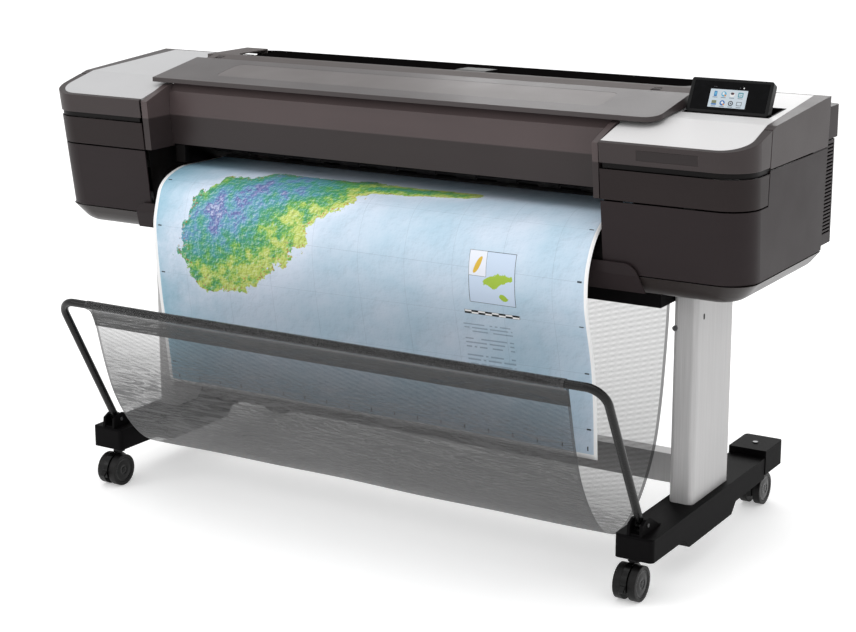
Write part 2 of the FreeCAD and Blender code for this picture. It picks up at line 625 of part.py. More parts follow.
def gear_shape(teeth, low, high, centre, turn):
    """A spur gear with involute flanks, cut a little thin for backlash."""
    module = number("tooth_module")
    pressure = math.radians(20)
    pitch, tip, root = module * teeth / 2, module * (teeth / 2 + 0.9), module * (teeth / 2 - 1.25)
    base = pitch * math.cos(pressure)
    half = math.pi / teeth / 2 - 0.12 * module / pitch / 2
    flank = math.tan(pressure) - pressure
    points = []
    for tooth in range(teeth):
        middle = 2 * math.pi * tooth / teeth + turn
        rises = []
        for step in range(5):
            radius = max(base, root) + (tip - max(base, root)) * step / 4
            angle = math.acos(min(1.0, base / radius))
            rises.append((radius, half + flank - (math.tan(angle) - angle)))
        rises.insert(0, (root, rises[0][1]))
        for radius, width in rises:
            points.append((radius, middle - width))
        for radius, width in reversed(rises):
            points.append((radius, middle + width))
    corners = [FreeCAD.Vector(number(low), centre[0] + radius * math.cos(angle),
                              centre[1] + radius * math.sin(angle)) for radius, angle in points]
    face = Part.Face(Part.makePolygon(corners + corners[:1]))
    wheel = DOC.addObject("Part::Feature", "gear")
    wheel.Shape = face.extrude(FreeCAD.Vector(number("(%s) - (%s)" % (high, low)), 0, 0))
    return wheel


def cutter():
    """The cutter block that runs along its rail above the print's path."""
    block = box(("-578", "-552"), ("-194", "-181"), ("752", "792"))
    neck = box(("-578", "-552"), ("-192", "-181"), ("791", "814"))
    slot = box(("-581", "-549"), ("-190", "-183.5"), ("796", "811"))
    node("cutter", cut(fuse(block, neck), slot))


def hidden_units():
    """The service station where the carriage parks, the supply and the main board."""
    tub = cut(box(("592", "700"), ("-166", "-84"), ("640", "744")),
              box(("598", "694"), ("-160", "-90"), ("660", "745")))
    caps = [box(("%d" % low, "%d" % (low + 40)), ("-156", "-94"), ("660", "746")) for low in (601, 651)]
    node("service_station", fuse(tub, *caps))
    supply = box(("-850", "-720"), ("-60", "120"), ("640", "700"))
    board = box(("-846", "-640"), ("140", "142"), ("720", "840"))
    chips = [box((left, left + "+ 26"), ("136", "140"), (low, low + "+ 26"))
             for left, low in (("-820", "745"), ("-770", "785"), ("-720", "750"))]
    node("electronics", group(supply, fuse(board, *chips)))


def display():
    """The tilting touch display, its hinge pin and the well it folds into."""
    low, high = "display_left - 5", "display_right + 5"
    block = profile("x", [("display_y - 6", "919"), ("4", "919"), ("4", "955.2"),
                          ("display_y - 6", "947.8")], low, high)
    well = cut(block, box((low + "+ 2", high + "- 2"), ("display_y - 4", "2"), ("921", "970")))
    turn = math.radians(number("display_tilt"))
    along = FreeCAD.Vector(0, math.cos(turn), math.sin(turn))
    back = FreeCAD.Vector(0, math.sin(turn), -math.cos(turn))
    corner = FreeCAD.Vector(0, number("display_y"), number("display_z"))

    def slab(label, left, right, bottom, top, front, rear):
        start = corner + along * bottom + back * front
        rise, deep = along * (top - bottom), back * (rear - front)
        points = [start, start + rise, start + rise + deep, start + deep]
        body = profile("x", [("%.4f" % point.y, "%.4f" % point.z) for point in points], left, right)
        body.Label = label
        return body
    tall = number("display_tall")
    thick = number("display_thick")
    case = slab("case", "display_left", "display_right", 0, tall, 0, thick)
    window = slab("window", "display_left + 7", "display_right - 7", 6, tall - 6, -1, 1.5)
    axis = corner + along * 7 + back * (thick - 6)
    pin_place = ("%.4f" % axis.y, "%.4f" % axis.z)
    tunnel = rod("x", pin_place, "2 + running", "display_left - 1", "display_right + 1")
    rounded(case, "5", lambda edge: abs((edge.Vertexes[-1].Point - edge.Vertexes[0].Point).x) < 1
            and 15 < edge.Length < 20)
    node("display_housing", cut(case, window, tunnel))
    node("display_screen", slab("screen", "display_left + 7.3", "display_right - 7.3",
                                6.3, tall - 6.3, 0.3, 1.5))
    pin = rod("x", pin_place, "2", "display_left - 4", "display_right + 4")
    node("display_well", fuse(well, pin))


def nameplate_block(shrink):
    """A thin plate that lies in the right band's sloping face."""
    slope = "(front_foot - front_top) / (band_top - panel_base)"
    low, high = "874 + %s" % shrink, "895 - %s" % shrink
    proud = "-2" if shrink == "0" else "0.4"
    outline = [("front_top + (band_top - (%s)) * %s + %s" % (level, slope, out), level)
               for level, out in ((low, proud), (high, proud), (high, "1.2"), (low, "1.2"))]
    return profile("x", outline, "648 + %s" % shrink, "779 - %s" % shrink)


# ---- stand ----------------------------------------------------------------

def leg(side):
    low, high = across(side, "leg_x - leg_wide / 2", "leg_x + leg_wide / 2")
    tube = profile("z", [(low, "leg_front"), (high, "leg_front"), (high, "leg_back"), (low, "leg_back")],
                   "foot_top", "base_under + machine_rise - 0.5")
    rounded(tube, "12", near_line("z", *[(x, y, 0) for x in (low, high) for y in ("leg_front", "leg_back")]))
    inner = box((low + "+ 4", high + "- 4"), ("leg_front + 8", "leg_back - 8"),
                ("foot_top - 1", "base_under + machine_rise"))
    return cut(tube, inner)


def foot(side):
    """A long foot with a deeper middle and a socket for each caster stem."""
    low, high = across(side, "foot_x - foot_half", "foot_x + foot_half")
    outline = [("foot_front", "foot_under"), ("foot_front", "foot_top - 4"), ("foot_front + 6", "foot_top"),
               ("foot_back", "foot_top"), ("foot_back", "foot_under"), ("85", "foot_under - 2"),
               ("62", "66"), ("-165", "66"), ("-190", "foot_under - 2")]
    beam = profile("x", outline, low, high)
    rounded(beam, "10", near_line("z", *[(x, "foot_front", 0) for x in (low, high)]))
    stem = "caster_x" if side == "right" else "-caster_x"
    socket = rod("z", (stem, "-caster_y + caster_trail"), "stem_radius + running",
                 "foot_under - 1", "foot_under + 26")
    return cut(beam, socket)


def foot_caps():
    """The cast cap on the back of each foot, which holds a rear caster."""
    caps = []
    for side in SIDES:
        low, high = across(side, "foot_x - foot_half - 2", "foot_x + foot_half + 2")
        block = profile("z", [(low, "foot_back"), (high, "foot_back"), (high, "cap_back"),
                              (low, "cap_back")], "foot_under + 9", "cap_top")
        rounded(block, "9", near_line("z", *[(x, "cap_back", 0) for x in (low, high)]))
        stem = "caster_x" if side == "right" else "-caster_x"
        caps.append(cut(block, rod("z", (stem, "caster_y - caster_trail"), "stem_radius + running",
                                   "foot_under", "foot_under + 30")))
    return caps


def caster(name, x, y):
    """One twin-wheel caster: a hooded fork that swivels, and a wheel pair that trails it."""
    front = y.startswith("-")
    column = (x, y + ("+ caster_trail" if front else "- caster_trail"))
    hood = cut(rod("x", (y, "wheel_radius"), "wheel_radius + 3.5", x + "- 6.5", x + "+ 6.5"),
               box((x + "- 8", x + "+ 8"), (y + "- 50", y + "+ 50"), ("-10", "wheel_radius - 12")))
    crown = rod("z", column, "14", "wheel_radius + 41", "foot_under - 1.5" if front else "foot_under + 8.5")
    neck = rod("z", column, "6.5", "wheel_radius + 25", "wheel_radius + 42")
    stem = rod("z", column, "stem_radius", "foot_under - 3", "foot_under + 24")
    node("caster_fork_" + name, cut(fuse(hood, crown, neck, stem),
                                    rod("x", (y, "wheel_radius"), "4 + running", x + "- 9", x + "+ 9")))
    centre = (y, "wheel_radius")
    wheels = [cut(rod("x", centre, "wheel_radius", x + low, x + high),
                  rod("x", centre, "wheel_radius - 8", x + first, x + last))
              for low, high, first, last in (("- 25", "- 8", "- 26", "- 22"),
                                             ("+ 8", "+ 25", "+ 22", "+ 26"))]
    node("caster_wheels_" + name, fuse(rod("x", (y, "wheel_radius"), "4", x + "- 24", x + "+ 24"), *wheels))


def caster_pedal(name, x):
    """The brake pedal at the front of a front caster."""
    y = "-caster_y"
    pedal = profile("x", [(y + "- 41.5", "wheel_radius + 5"), (y + "- 51", "wheel_radius - 4"),
                          (y + "- 49", "wheel_radius - 9"), (y + "- 43.5", "wheel_radius - 2")],
                    x + "- 6", x + "+ 6")
    node("caster_pedal_" + name, pedal)


def bail():
    """The basket's tube frame with its two clevis brackets and pins."""
    ears = []
    for x in ("-bail_x", "bail_x"):
        for low, high in (("- 17", "- 11"), ("+ 11", "+ 17")):
            ears.append(profile("x", [("foot_front + 5", "foot_top"), ("foot_front + 8", "bail_z + 6"),
                                      ("bail_y - 8", "bail_z + 14"), ("bail_y + 10", "bail_z + 14"),
                                      ("bail_y + 62", "foot_top")], x + low, x + high))
        ears.append(box((x + "- 17", x + "+ 17"), ("foot_front + 8", "bail_y + 62"),
                        ("foot_top", "foot_top + 4")))
    pins = [rod("x", ("bail_y", "bail_z"), "4", x + "- 19", x + "+ 19") for x in ("-bail_x", "bail_x")]
    node("bail_brackets", cut(fuse(*ears), *pins))
    heads = [rod("z", (x, "300"), "6", "cap_top", "cap_top + 2.5") for x in ("-foot_x", "foot_x")]
    heads += [rod("y", (x, "520"), "6", "leg_front - 2", "leg_front") for x in ("-leg_x + 22", "leg_x - 22")]
    node("stand_fasteners", group(*pins, *heads))
    foot_point = FreeCAD.Vector(number("bail_x"), number("bail_y"), number("bail_z"))
    top_point = FreeCAD.Vector(number("bail_x"), number("bail_top_y"), number("bail_top_z"))
    rise = (top_point - foot_point).normalize()
    bend = 42.0

    def flip(point):
        return FreeCAD.Vector(-point.x, point.y, point.z)
    low = top_point - rise * bend
    high = top_point - FreeCAD.Vector(bend, 0, 0)
    middle = top_point - (rise + FreeCAD.Vector(1, 0, 0)) * bend * (1 - math.sqrt(0.5))
    path = Part.Wire([Part.LineSegment(foot_point, low).toShape(), Part.Arc(low, middle, high).toShape(),
                      Part.LineSegment(high, flip(high)).toShape(),
                      Part.Arc(flip(high), flip(middle), flip(low)).toShape(),
                      Part.LineSegment(flip(low), flip(foot_point)).toShape()])
    radius = number("tube_radius")
    ring = Part.Wire([Part.Circle(foot_point, rise, radius).toShape()])
    tube = path.makePipeShell([ring], True, True)
    eyes = [Part.makeCylinder(radius + 1, 18, FreeCAD.Vector(x - 9, foot_point.y, foot_point.z),
                              FreeCAD.Vector(1, 0, 0)) for x in (-foot_point.x, foot_point.x)]
    bores = [Part.makeCylinder(4 + number("running"), 24, FreeCAD.Vector(x - 12, foot_point.y, foot_point.z),
                               FreeCAD.Vector(1, 0, 0)) for x in (-foot_point.x, foot_point.x)]
    frame = DOC.addObject("Part::Feature", "bail")
    frame.Shape = tube.multiFuse(eyes).cut(Part.makeCompound(bores))
    node("basket_bail", frame)


def sheet_solid(points, thickness, left, right):
    """A thin sheet that follows a line of (y, z) points: each is moved out along its normal."""
    line = [FreeCAD.Vector(number(left), number(y), number(z)) for y, z in points]
    far = []
    for index, point in enumerate(line):
        along = (line[min(index + 1, len(line) - 1)] - line[max(index - 1, 0)]).normalize()
        far.append(point + FreeCAD.Vector(0, -along.z, along.y) * thickness)
    corners = line + far[::-1]
    face = Part.Face(Part.makePolygon(corners + corners[:1]))
    solid = DOC.addObject("Part::Feature", "sheet")
    solid.Shape = face.extrude(FreeCAD.Vector(number("(%s) - (%s)" % (right, left)), 0, 0))
    return solid


def soft_goods():
    """The mesh of the catch basket and the print that hangs into it."""
    mesh = [("bail_top_y + 22", "bail_top_z - 6"), ("-466", "422"), ("-444", "338"), ("-415", "258"),
            ("-370", "183"), ("-315", "126"), ("-250", "96"), ("-180", "108"), ("-115", "160"),
            ("-65", "234"), ("-38", "320"), ("-22", "414"), ("-12", "498"), ("-8", "560")]
    node("basket_mesh", sheet_solid(mesh, 3, "-basket_half", "basket_half"))
    paper = [("-44", "763"), ("-120", "763.5"), ("-185", "764"), ("-222", "759"), ("-256", "744"),
             ("-282", "718"), ("-295", "688"), ("-301", "640"), ("-298", "580"), ("-291", "518"),
             ("-283", "455"), ("-276", "390"), ("-269", "316"), ("-263", "254")]
    node("printed_sheet", sheet_solid(paper, 0.8, "paper_left", "paper_right"))


def stand():
    """Everything below the machine."""
    pair("legs", leg)
    node("feet", group(*[foot(side) for side in SIDES], *foot_caps()))
    beam = box(("-leg_x + leg_wide / 2", "leg_x - leg_wide / 2"), ("-12", "28"),
               ("foot_top + 0.5", "206"))
    node("cross_beam", cut(beam, box(("-leg_x", "leg_x"), ("-9.5", "25.5"), ("foot_top + 3", "203.5"))))
    places = (("front_left", "-caster_x", "-caster_y"), ("front_right", "caster_x", "-caster_y"),
              ("rear_left", "-caster_x", "caster_y"), ("rear_right", "caster_x", "caster_y"))
    for name, x, y in places:
        caster(name, x, y)
    caster_pedal("left", "-caster_x")
    caster_pedal("right", "caster_x")
    bail()


def underside():
    """The tray and floor sheet between the legs, with the rod that holds the basket's mesh."""
    reach = "leg_x - leg_wide / 2 - 0.5"
    tray = cut(box(("-(%s)" % reach, reach), ("-182", "150"), ("beam_under", "base_under - 0.5")),
               box(("-(%s) + 3" % reach, reach + " - 3"), ("-179", "147"), ("beam_under + 3", "base_under")))
    floor = box(("-603.5", "566.5"), ("-222", "150"), ("base_under + 1", "base_under + 4"))
    node("under_beam", group(tray, floor, rod("x", ("-6", "549"), "5", "-650", "650")))


def printer():
    """Everything above the stand."""
    pair("lower_panels", lower_panel)
    pair("top_covers", top_covers)
    pair("top_inserts", top_insert)
    pair("base_pans", base_pan)
    pair("ink_cartridges", ink_cartridges)
    node("inner_frames", group(*[make(side) for make in (end_frame, cartridge_bay, gap_liner)
                                 for side in SIDES]))
    node("rear_corners", group(*[make(side) for make in (rear_block, rear_corner) for side in SIDES]))
    for side in SIDES:
        ink_door(side)
    for make in (rear_panel, roll_bay, media_roll, roll_cover, bezel, lid, lid_hinge, top_deck, output_front,
                 carriage, carriage_rails, feed, cutter, hidden_units, display, underside):
        make()
    node("nameplate", nameplate_block("0.3"))
    for piece in NODES:
        bind(piece, "Placement.Base.z", "machine_rise")


def write_steps():
    """Check every object, then write one STEP file for each node."""
    DOC.recompute()
    for thing in DOC.Objects:
        if "Invalid" in thing.State or "Error" in thing.State:
            raise RuntimeError("%s (%s) did not build: %s" % (thing.Label, thing.Name, thing.State))
    for piece in NODES:
        if piece.Shape.isNull() or not piece.Shape.isValid() or not piece.Shape.Solids:
            raise RuntimeError("%s has no valid solid" % piece.Label)
    os.makedirs("parts", exist_ok=True)
    for piece in NODES:
        piece.Shape.exportStep("parts/%s.step" % piece.Label)
    print(len(NODES), "nodes written")


printer()
stand()
soft_goods()
write_steps()
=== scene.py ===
import functools
import json
import math

import bpy
from mathutils import Matrix, Vector


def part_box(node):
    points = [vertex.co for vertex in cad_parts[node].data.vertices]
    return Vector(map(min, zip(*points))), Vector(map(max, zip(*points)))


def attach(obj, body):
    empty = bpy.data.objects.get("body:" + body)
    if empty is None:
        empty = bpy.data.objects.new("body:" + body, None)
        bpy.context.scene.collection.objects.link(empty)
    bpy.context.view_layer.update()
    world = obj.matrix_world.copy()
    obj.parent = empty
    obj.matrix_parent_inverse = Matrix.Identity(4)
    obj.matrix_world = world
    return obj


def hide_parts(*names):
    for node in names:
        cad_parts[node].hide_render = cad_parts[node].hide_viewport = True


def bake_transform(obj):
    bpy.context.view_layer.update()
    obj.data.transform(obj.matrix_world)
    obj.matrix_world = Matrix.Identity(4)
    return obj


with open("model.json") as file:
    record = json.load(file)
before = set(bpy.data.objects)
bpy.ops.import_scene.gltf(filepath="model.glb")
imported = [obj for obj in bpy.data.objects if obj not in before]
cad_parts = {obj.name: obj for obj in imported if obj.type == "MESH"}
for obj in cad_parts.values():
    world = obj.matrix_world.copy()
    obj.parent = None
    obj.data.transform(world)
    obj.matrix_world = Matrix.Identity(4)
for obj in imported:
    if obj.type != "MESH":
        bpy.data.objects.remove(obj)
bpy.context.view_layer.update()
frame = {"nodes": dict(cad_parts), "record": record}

# Looks of the large format plotter: every finish, the basket's net, the print
# that hangs in it, the picture on the touch display and the small fittings.
# Metres, in the frame's own axes: X along the machine, Y to the back, Z up.

NODES = frame["nodes"]


# ---- building materials ---------------------------------------------------

def tint(red, green, blue):
    """A linear colour from screen values of 0 to 255."""
    return tuple((value / 255) ** 2.2 for value in (red, green, blue)) + (1.0,)


def scaled(colour, factor):
    return tuple(min(1.0, value * factor) for value in colour[:3]) + (1.0,)


class Paint:
    """A node material round one Principled shader."""

    def __init__(self, name, **uniform):
        self.material = bpy.data.materials.new(name)
        self.material.use_nodes = True
        self.tree = self.material.node_tree
        self.shader = self.tree.nodes["Principled BSDF"]
        for socket, value in uniform.items():
            self.feed(self.shader, socket.replace("_", " "), value)

    def feed(self, node, socket, value):
        """Link a socket to another one, or set its value."""
        target = node.inputs[socket]
        if isinstance(value, bpy.types.NodeSocket):
            self.tree.links.new(value, target)
        else:
            target.default_value = value

    def node(self, kind, settings=(), **values):
        made = self.tree.nodes.new("ShaderNode" + kind)
        for name, value in dict(settings).items():
            setattr(made, name, value)
        for socket, value in values.items():
            self.feed(made, socket.replace("_", " "), value)
        return made

    def sum(self, operation, first, second=0.0, clamp=False):
        made = self.node("Math", {"operation": operation, "use_clamp": clamp})
        self.feed(made, 0, first)
        self.feed(made, 1, second)
        return made.outputs[0]

    def wave(self, value, period):
        """A sine of a value, from -1 to 1."""
        return self.sum("SINE", self.sum("MULTIPLY", value, 2 * math.pi / period))

    def brighten(self, colour, factor):
        return self.node("VectorMath", {"operation": "SCALE"}, Vector=colour, Scale=factor).outputs[0]

    def where(self, kind="Object", scale=(1, 1, 1), turn=(0, 0, 0), shift=(0, 0, 0)):
        """Texture coordinates, stretched, turned and shifted."""
        source = self.node("TexCoord").outputs[kind]
        mapping = self.node("Mapping", Vector=source, Scale=scale, Rotation=turn, Location=shift)
        return mapping.outputs[0]

    def noise(self, scale, detail=2.0, rough=0.5, place=None, warp=0.0):
        made = self.node("TexNoise", Vector=place or self.where(), Scale=scale, Detail=detail,
                         Roughness=rough, Distortion=warp)
        return made.outputs[0]

    def fade(self, value, low, high, start=0.0, end=1.0):
        """Map a value from low..high to start..end, and hold it beyond."""
        made = self.node("MapRange", Value=value)
        for socket, bound in zip(("From Min", "From Max", "To Min", "To Max"), (low, high, start, end)):
            self.feed(made, socket, bound)
        return made.outputs[0]

    def blend(self, factor, first, second, mode="MIX"):
        made = self.node("Mix", {"data_type": "RGBA", "blend_type": mode})
        for index, value in ((0, factor), (6, first), (7, second)):
            self.feed(made, index, value)
        return made.outputs[2]

    def ramp(self, value, *stops):
        made = self.node("ValToRGB", Fac=value)
        band = made.color_ramp
        while len(band.elements) < len(stops):
            band.elements.new(1.0)
        for element, (place, colour) in zip(band.elements, stops):
            element.position, element.color = place, colour
        return made.outputs[0]

    def edges(self, radius):
        """Soft edge normals, and a mask that is 1 on the outer edges."""
        soft = self.node("Bevel", {"samples": 4}, Radius=radius).outputs[0]
        flat = self.node("NewGeometry").outputs["Normal"]
        match = self.node("VectorMath", {"operation": "DOT_PRODUCT"})
        self.feed(match, 0, soft)
        self.feed(match, 1, flat)
        return soft, self.fade(match.outputs["Value"], 0.999, 0.9)

    def relief(self, height, depth, strength=1.0, normal=None):
        made = self.node("Bump", Height=height, Distance=depth, Strength=strength)
        if normal is not None:
            self.feed(made, "Normal", normal)
        return made.outputs[0]

    def finish(self, **sockets):
        for socket, value in sockets.items():
            self.feed(self.shader, socket.replace("_", " "), value)
        return self.material


# ---- finishes of the CAD pieces -------------------------------------------

def moulded(name, colour, rough, grain=950.0, edge=0.0012, wear=0.35, grip=0.35, gain=None, **uniform):
    """Moulded plastic: fine etched grain, faint flow marks, smudges and rubbed edges."""
    paint = Paint(name, **uniform)
    soft, rim = paint.edges(edge)
    drift = paint.noise(2.6, 3.0)
    flow = paint.noise(30.0, 3.0, place=paint.where(scale=(0.08, 1, 1)))
    etched = paint.noise(grain, 2.0, 0.6)
    smudge = paint.noise(7.0, 3.0, 0.5)
    tone = paint.blend(paint.fade(drift, 0.3, 0.7), scaled(colour, 0.9), scaled(colour, 1.1))
    tone = paint.blend(paint.fade(flow, 0.35, 0.75, 0.0, 0.3), tone, scaled(colour, 1.22))
    tone = paint.blend(paint.fade(etched, 0.3, 0.7, 0.0, 0.22), tone, scaled(colour, 0.72))
    tone = paint.blend(paint.sum("MULTIPLY", rim, wear), tone, scaled(colour, 2.4))
    # a gain scales the colour by place; the bezel's gain is painted light on its top bevel
    if gain is not None:
        tone = paint.brighten(tone, gain(paint))
    sheen = paint.fade(smudge, 0.3, 0.7, rough - 0.03, rough + 0.04)
    return paint.finish(Base_Color=tone, Roughness=sheen,
                        Normal=paint.relief(etched, 0.00012, grip, soft))


def painted_light_above_crease(paint):
    """Painted light: a gain that makes the bezel paler above the crease along it, as if its top bevel caught
    more light.
    """
    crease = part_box("front_bezel")[0].z + 0.073
    level = paint.node("SeparateXYZ", Vector=paint.where()).outputs["Z"]
    return paint.fade(level, crease, crease + 0.003, 1.0, 2.6)


# moulded plastics: screen colour, roughness, and what differs from the usual
MOULDED = {
    "body_plastic": ((42, 36, 37), 0.44, dict(Specular_IOR_Level=0.13)),
    "door_plastic": ((41, 35, 35), 0.44, dict(edge=0.0014, wear=0.5, Specular_IOR_Level=0.14)),
    "band_plastic": ((58, 52, 52), 0.4, dict(edge=0.0018, wear=0.45, Specular_IOR_Level=0.2)),
    # the bezel's gain paints light on the bevel above its crease
    "bezel_plastic": ((50, 44, 44), 0.34, dict(grain=600.0, wear=0.5, gain=painted_light_above_crease,
                                               Specular_IOR_Level=0.24)),
    "pan_plastic": ((42, 37, 36), 0.32, dict(grain=800.0, grip=0.15, Specular_IOR_Level=0.3)),
    "cover_plastic": ((20, 19, 19), 0.85, dict(Specular_IOR_Level=0.0)),
    "lid_plastic": ((60, 54, 54), 0.32, dict(grain=700.0, Specular_IOR_Level=0.36)),
    "inlay_plastic": ((84, 78, 77), 0.34, dict(grain=420.0, grip=0.1, Specular_IOR_Level=0.36)),
    "rail_plastic": ((92, 87, 86), 0.6, dict(grain=700.0, edge=0.0008, wear=0.2,
                                             Specular_IOR_Level=0.12)),
    "nameplate_plastic": ((46, 41, 41), 0.3, dict(grain=900.0, edge=0.0009, wear=0.8,
                                                  Specular_IOR_Level=0.2)),
    "dark_plastic": ((19, 17, 17), 0.5, dict(grain=900.0, Specular_IOR_Level=0.12)),
    "display_plastic": ((16, 16, 17), 0.3, dict(grain=1400.0, grip=0.15, Specular_IOR_Level=0.2)),
    "spindle_plastic": ((48, 60, 74), 0.45, {}),
    "caster_plastic": ((15, 15, 15), 0.24, dict(grain=1100.0, grip=0.2, Specular_IOR_Level=0.22)),
}


def wheel_plastic():
    """Hard tread plastic, dulled and dusty where it rolls."""
    paint = Paint("wheel_plastic", Specular_IOR_Level=0.2)
    soft, rim = paint.edges(0.0025)
    speck = paint.noise(700.0, 4.0, 0.7)
    dust = paint.noise(60.0, 5.0, 0.65)
    tone = paint.blend(paint.fade(speck, 0.35, 0.7), tint(14, 14, 14), tint(26, 25, 25))
    tone = paint.blend(paint.fade(dust, 0.58, 0.85, 0.0, 0.2), tone, tint(72, 70, 68))
    tone = paint.blend(paint.sum("MULTIPLY", rim, 0.25), tone, tint(66, 65, 64))
    return paint.finish(Base_Color=tone, Roughness=paint.fade(dust, 0.3, 0.8, 0.36, 0.6),
                        Normal=paint.relief(speck, 0.0002, 0.4, soft))


def silver_plastic():
    """Pale painted inserts: a fine metallic fleck under satin lacquer, over painted light that makes them
    darker at the left and brighter at the right.
    """
    paint = Paint("silver_plastic", Metallic=0.0, Specular_IOR_Level=0.15)
    soft, rim = paint.edges(0.001)
    # painted light: the colour runs from darker at the left end to brighter at the right
    east = paint.node("SeparateXYZ", Vector=paint.where()).outputs["X"]
    painted_light_ramp = paint.blend(paint.fade(east, -0.5, 0.5), tint(184, 184, 185), tint(218, 217, 217))
    fleck = paint.noise(1600.0, 2.0, 0.7)
    cloud = paint.noise(3.5, 3.0)
    tone = paint.blend(paint.fade(fleck, 0.25, 0.75, 0.0, 0.22), painted_light_ramp, tint(150, 150, 154))
    tone = paint.blend(paint.fade(cloud, 0.3, 0.7, 0.0, 0.12), tone, tint(246, 246, 246))
    tone = paint.blend(paint.sum("MULTIPLY", rim, 0.25), tone, tint(250, 250, 250))
    return paint.finish(Base_Color=tone, Roughness=paint.fade(cloud, 0.3, 0.7, 0.36, 0.44),
                        Normal=paint.relief(fleck, 0.00008, 0.3, soft))


def leg_metal():
    """Extruded aluminium under silver lacquer, with faint draw lines along its length."""
    paint = Paint("leg_metal", Metallic=0.15, Specular_IOR_Level=0.3)
    soft, rim = paint.edges(0.0015)
    lines = paint.noise(420.0, 3.0, 0.6, paint.where(scale=(1, 1, 0.012)))
    cloud = paint.noise(5.0, 4.0)
    tone = paint.blend(paint.fade(lines, 0.3, 0.7), tint(170, 169, 169), tint(186, 185, 185))
    tone = paint.blend(paint.fade(cloud, 0.35, 0.7, 0.0, 0.2), tone, tint(152, 152, 153))
    tone = paint.blend(paint.sum("MULTIPLY", rim, 0.4), tone, tint(214, 214, 214))
    return paint.finish(Base_Color=tone, Roughness=paint.fade(lines, 0.3, 0.7, 0.34, 0.46),
                        Normal=paint.relief(lines, 0.00015, 0.25, soft))


def steel():
    """Zinc-plated sheet and turned bar, with a cloudy plating."""
    paint = Paint("steel", Metallic=1.0)
    soft, rim = paint.edges(0.0006)
    cloud = paint.noise(45.0, 5.0, 0.65, warp=0.6)
    scratch = paint.noise(300.0, 2.0, 0.5, paint.where(scale=(0.05, 1, 1)))
    tone = paint.blend(paint.fade(cloud, 0.3, 0.7), tint(84, 85, 88), tint(120, 120, 119))
    tone = paint.blend(paint.sum("MULTIPLY", rim, 0.4), tone, tint(230, 230, 230))
    return paint.finish(Base_Color=tone, Roughness=paint.fade(cloud, 0.3, 0.7, 0.24, 0.42),
                        Normal=paint.relief(scratch, 0.0001, 0.2, soft))


def powder_coat(name, colour, rough, pebble, **uniform):
    """Baked powder paint with an orange-peel surface."""
    paint = Paint(name, **uniform)
    soft, rim = paint.edges(0.0012)
    peel = paint.noise(pebble, 3.0, 0.6)
    cloud = paint.noise(6.0, 4.0)
    tone = paint.blend(paint.fade(cloud, 0.3, 0.7), scaled(colour, 0.88), scaled(colour, 1.12))
    tone = paint.blend(paint.fade(peel, 0.4, 0.75, 0.0, 0.3), tone, scaled(colour, 1.5))
    tone = paint.blend(paint.sum("MULTIPLY", rim, 0.3), tone, scaled(colour, 2.6))
    return paint.finish(Base_Color=tone, Roughness=paint.fade(peel, 0.3, 0.7, rough - 0.06, rough + 0.08),
                        Normal=paint.relief(peel, 0.00025, 0.5, soft))


def foot_paint():
    return powder_coat("foot_paint", tint(15, 14, 15), 0.6, 620.0, Specular_IOR_Level=0.06)


def bail_paint():
    return powder_coat("bail_paint", tint(12, 12, 12), 0.26, 260.0, Specular_IOR_Level=0.3)


def roller_rubber():
    """Ground rubber with a fine nap and a little paper dust."""
    paint = Paint("roller_rubber", Specular_IOR_Level=0.3)
    nap = paint.noise(1500.0, 3.0, 0.7)
    dust = paint.noise(26.0, 5.0, 0.6)
    tone = paint.blend(paint.fade(nap, 0.3, 0.7), tint(40, 40, 42), tint(58, 58, 60))
    tone = paint.blend(paint.fade(dust, 0.55, 0.8, 0.0, 0.35), tone, tint(120, 118, 114))
    return paint.finish(Base_Color=tone, Roughness=paint.fade(dust, 0.3, 0.8, 0.62, 0.82),
                        Normal=paint.relief(nap, 0.0003, 0.5))


def screen_glass():
    """Black cover glass over the display, with faint finger marks."""
    paint = Paint("screen_glass", IOR=1.45, Specular_IOR_Level=0.12)
    smear = paint.noise(38.0, 5.0, 0.6, warp=1.2)
    tone = paint.blend(paint.fade(smear, 0.4, 0.7), tint(6, 6, 8), tint(13, 13, 16))
    return paint.finish(Base_Color=tone, Roughness=paint.fade(smear, 0.4, 0.75, 0.05, 0.22),
                        Normal=paint.relief(smear, 0.00002, 0.2))


def roll_paper(core_radius=0.038):
    """White media wound on its core: the turns show as fine rings on the ends."""
    paint = Paint("roll_paper", Sheen_Weight=0.1)
    place = paint.node("SeparateXYZ", Vector=paint.where())
    low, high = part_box("paper_roll")
    middle = (low + high) / 2
    across = paint.sum("SUBTRACT", place.outputs["Y"], middle.y)
    up = paint.sum("SUBTRACT", place.outputs["Z"], middle.z)
    squares = paint.sum("ADD", paint.sum("POWER", across, 2.0), paint.sum("POWER", up, 2.0))
    radius = paint.sum("SQRT", squares)
    rings = paint.sum("SINE", paint.sum("MULTIPLY", radius, 9000.0))
    fibre = paint.noise(800.0, 4.0, 0.65)
    core = paint.fade(radius, core_radius - 0.0002, core_radius + 0.0004)
    tone = paint.blend(paint.fade(rings, -1.0, 1.0, 0.0, 0.35), tint(244, 243, 240), tint(206, 204, 200))
    tone = paint.blend(core, tint(156, 124, 88), tone)
    tone = paint.blend(paint.fade(fibre, 0.35, 0.7, 0.0, 0.1), tone, tint(214, 210, 202))
    return paint.finish(Base_Color=tone, Roughness=paint.fade(fibre, 0.3, 0.7, 0.68, 0.8),
                        Normal=paint.relief(fibre, 0.0001, 0.3))


FINISHES = {
    "silver_plastic": silver_plastic, "screen": screen_glass, "foot_paint": foot_paint,
    "leg_metal": leg_metal, "steel": steel, "bail_paint": bail_paint, "roller_rubber": roller_rubber,
    "wheel_plastic": wheel_plastic, "roll_paper": roll_paper,
}


@functools.cache
def finish(name):
    """The material of one finish, made once."""
    if name not in MOULDED:
        return FINISHES[name]()
    colour, rough, details = MOULDED[name]
    return moulded(name, tint(*colour), rough, **details)


# ---- the net of the basket ------------------------------------------------

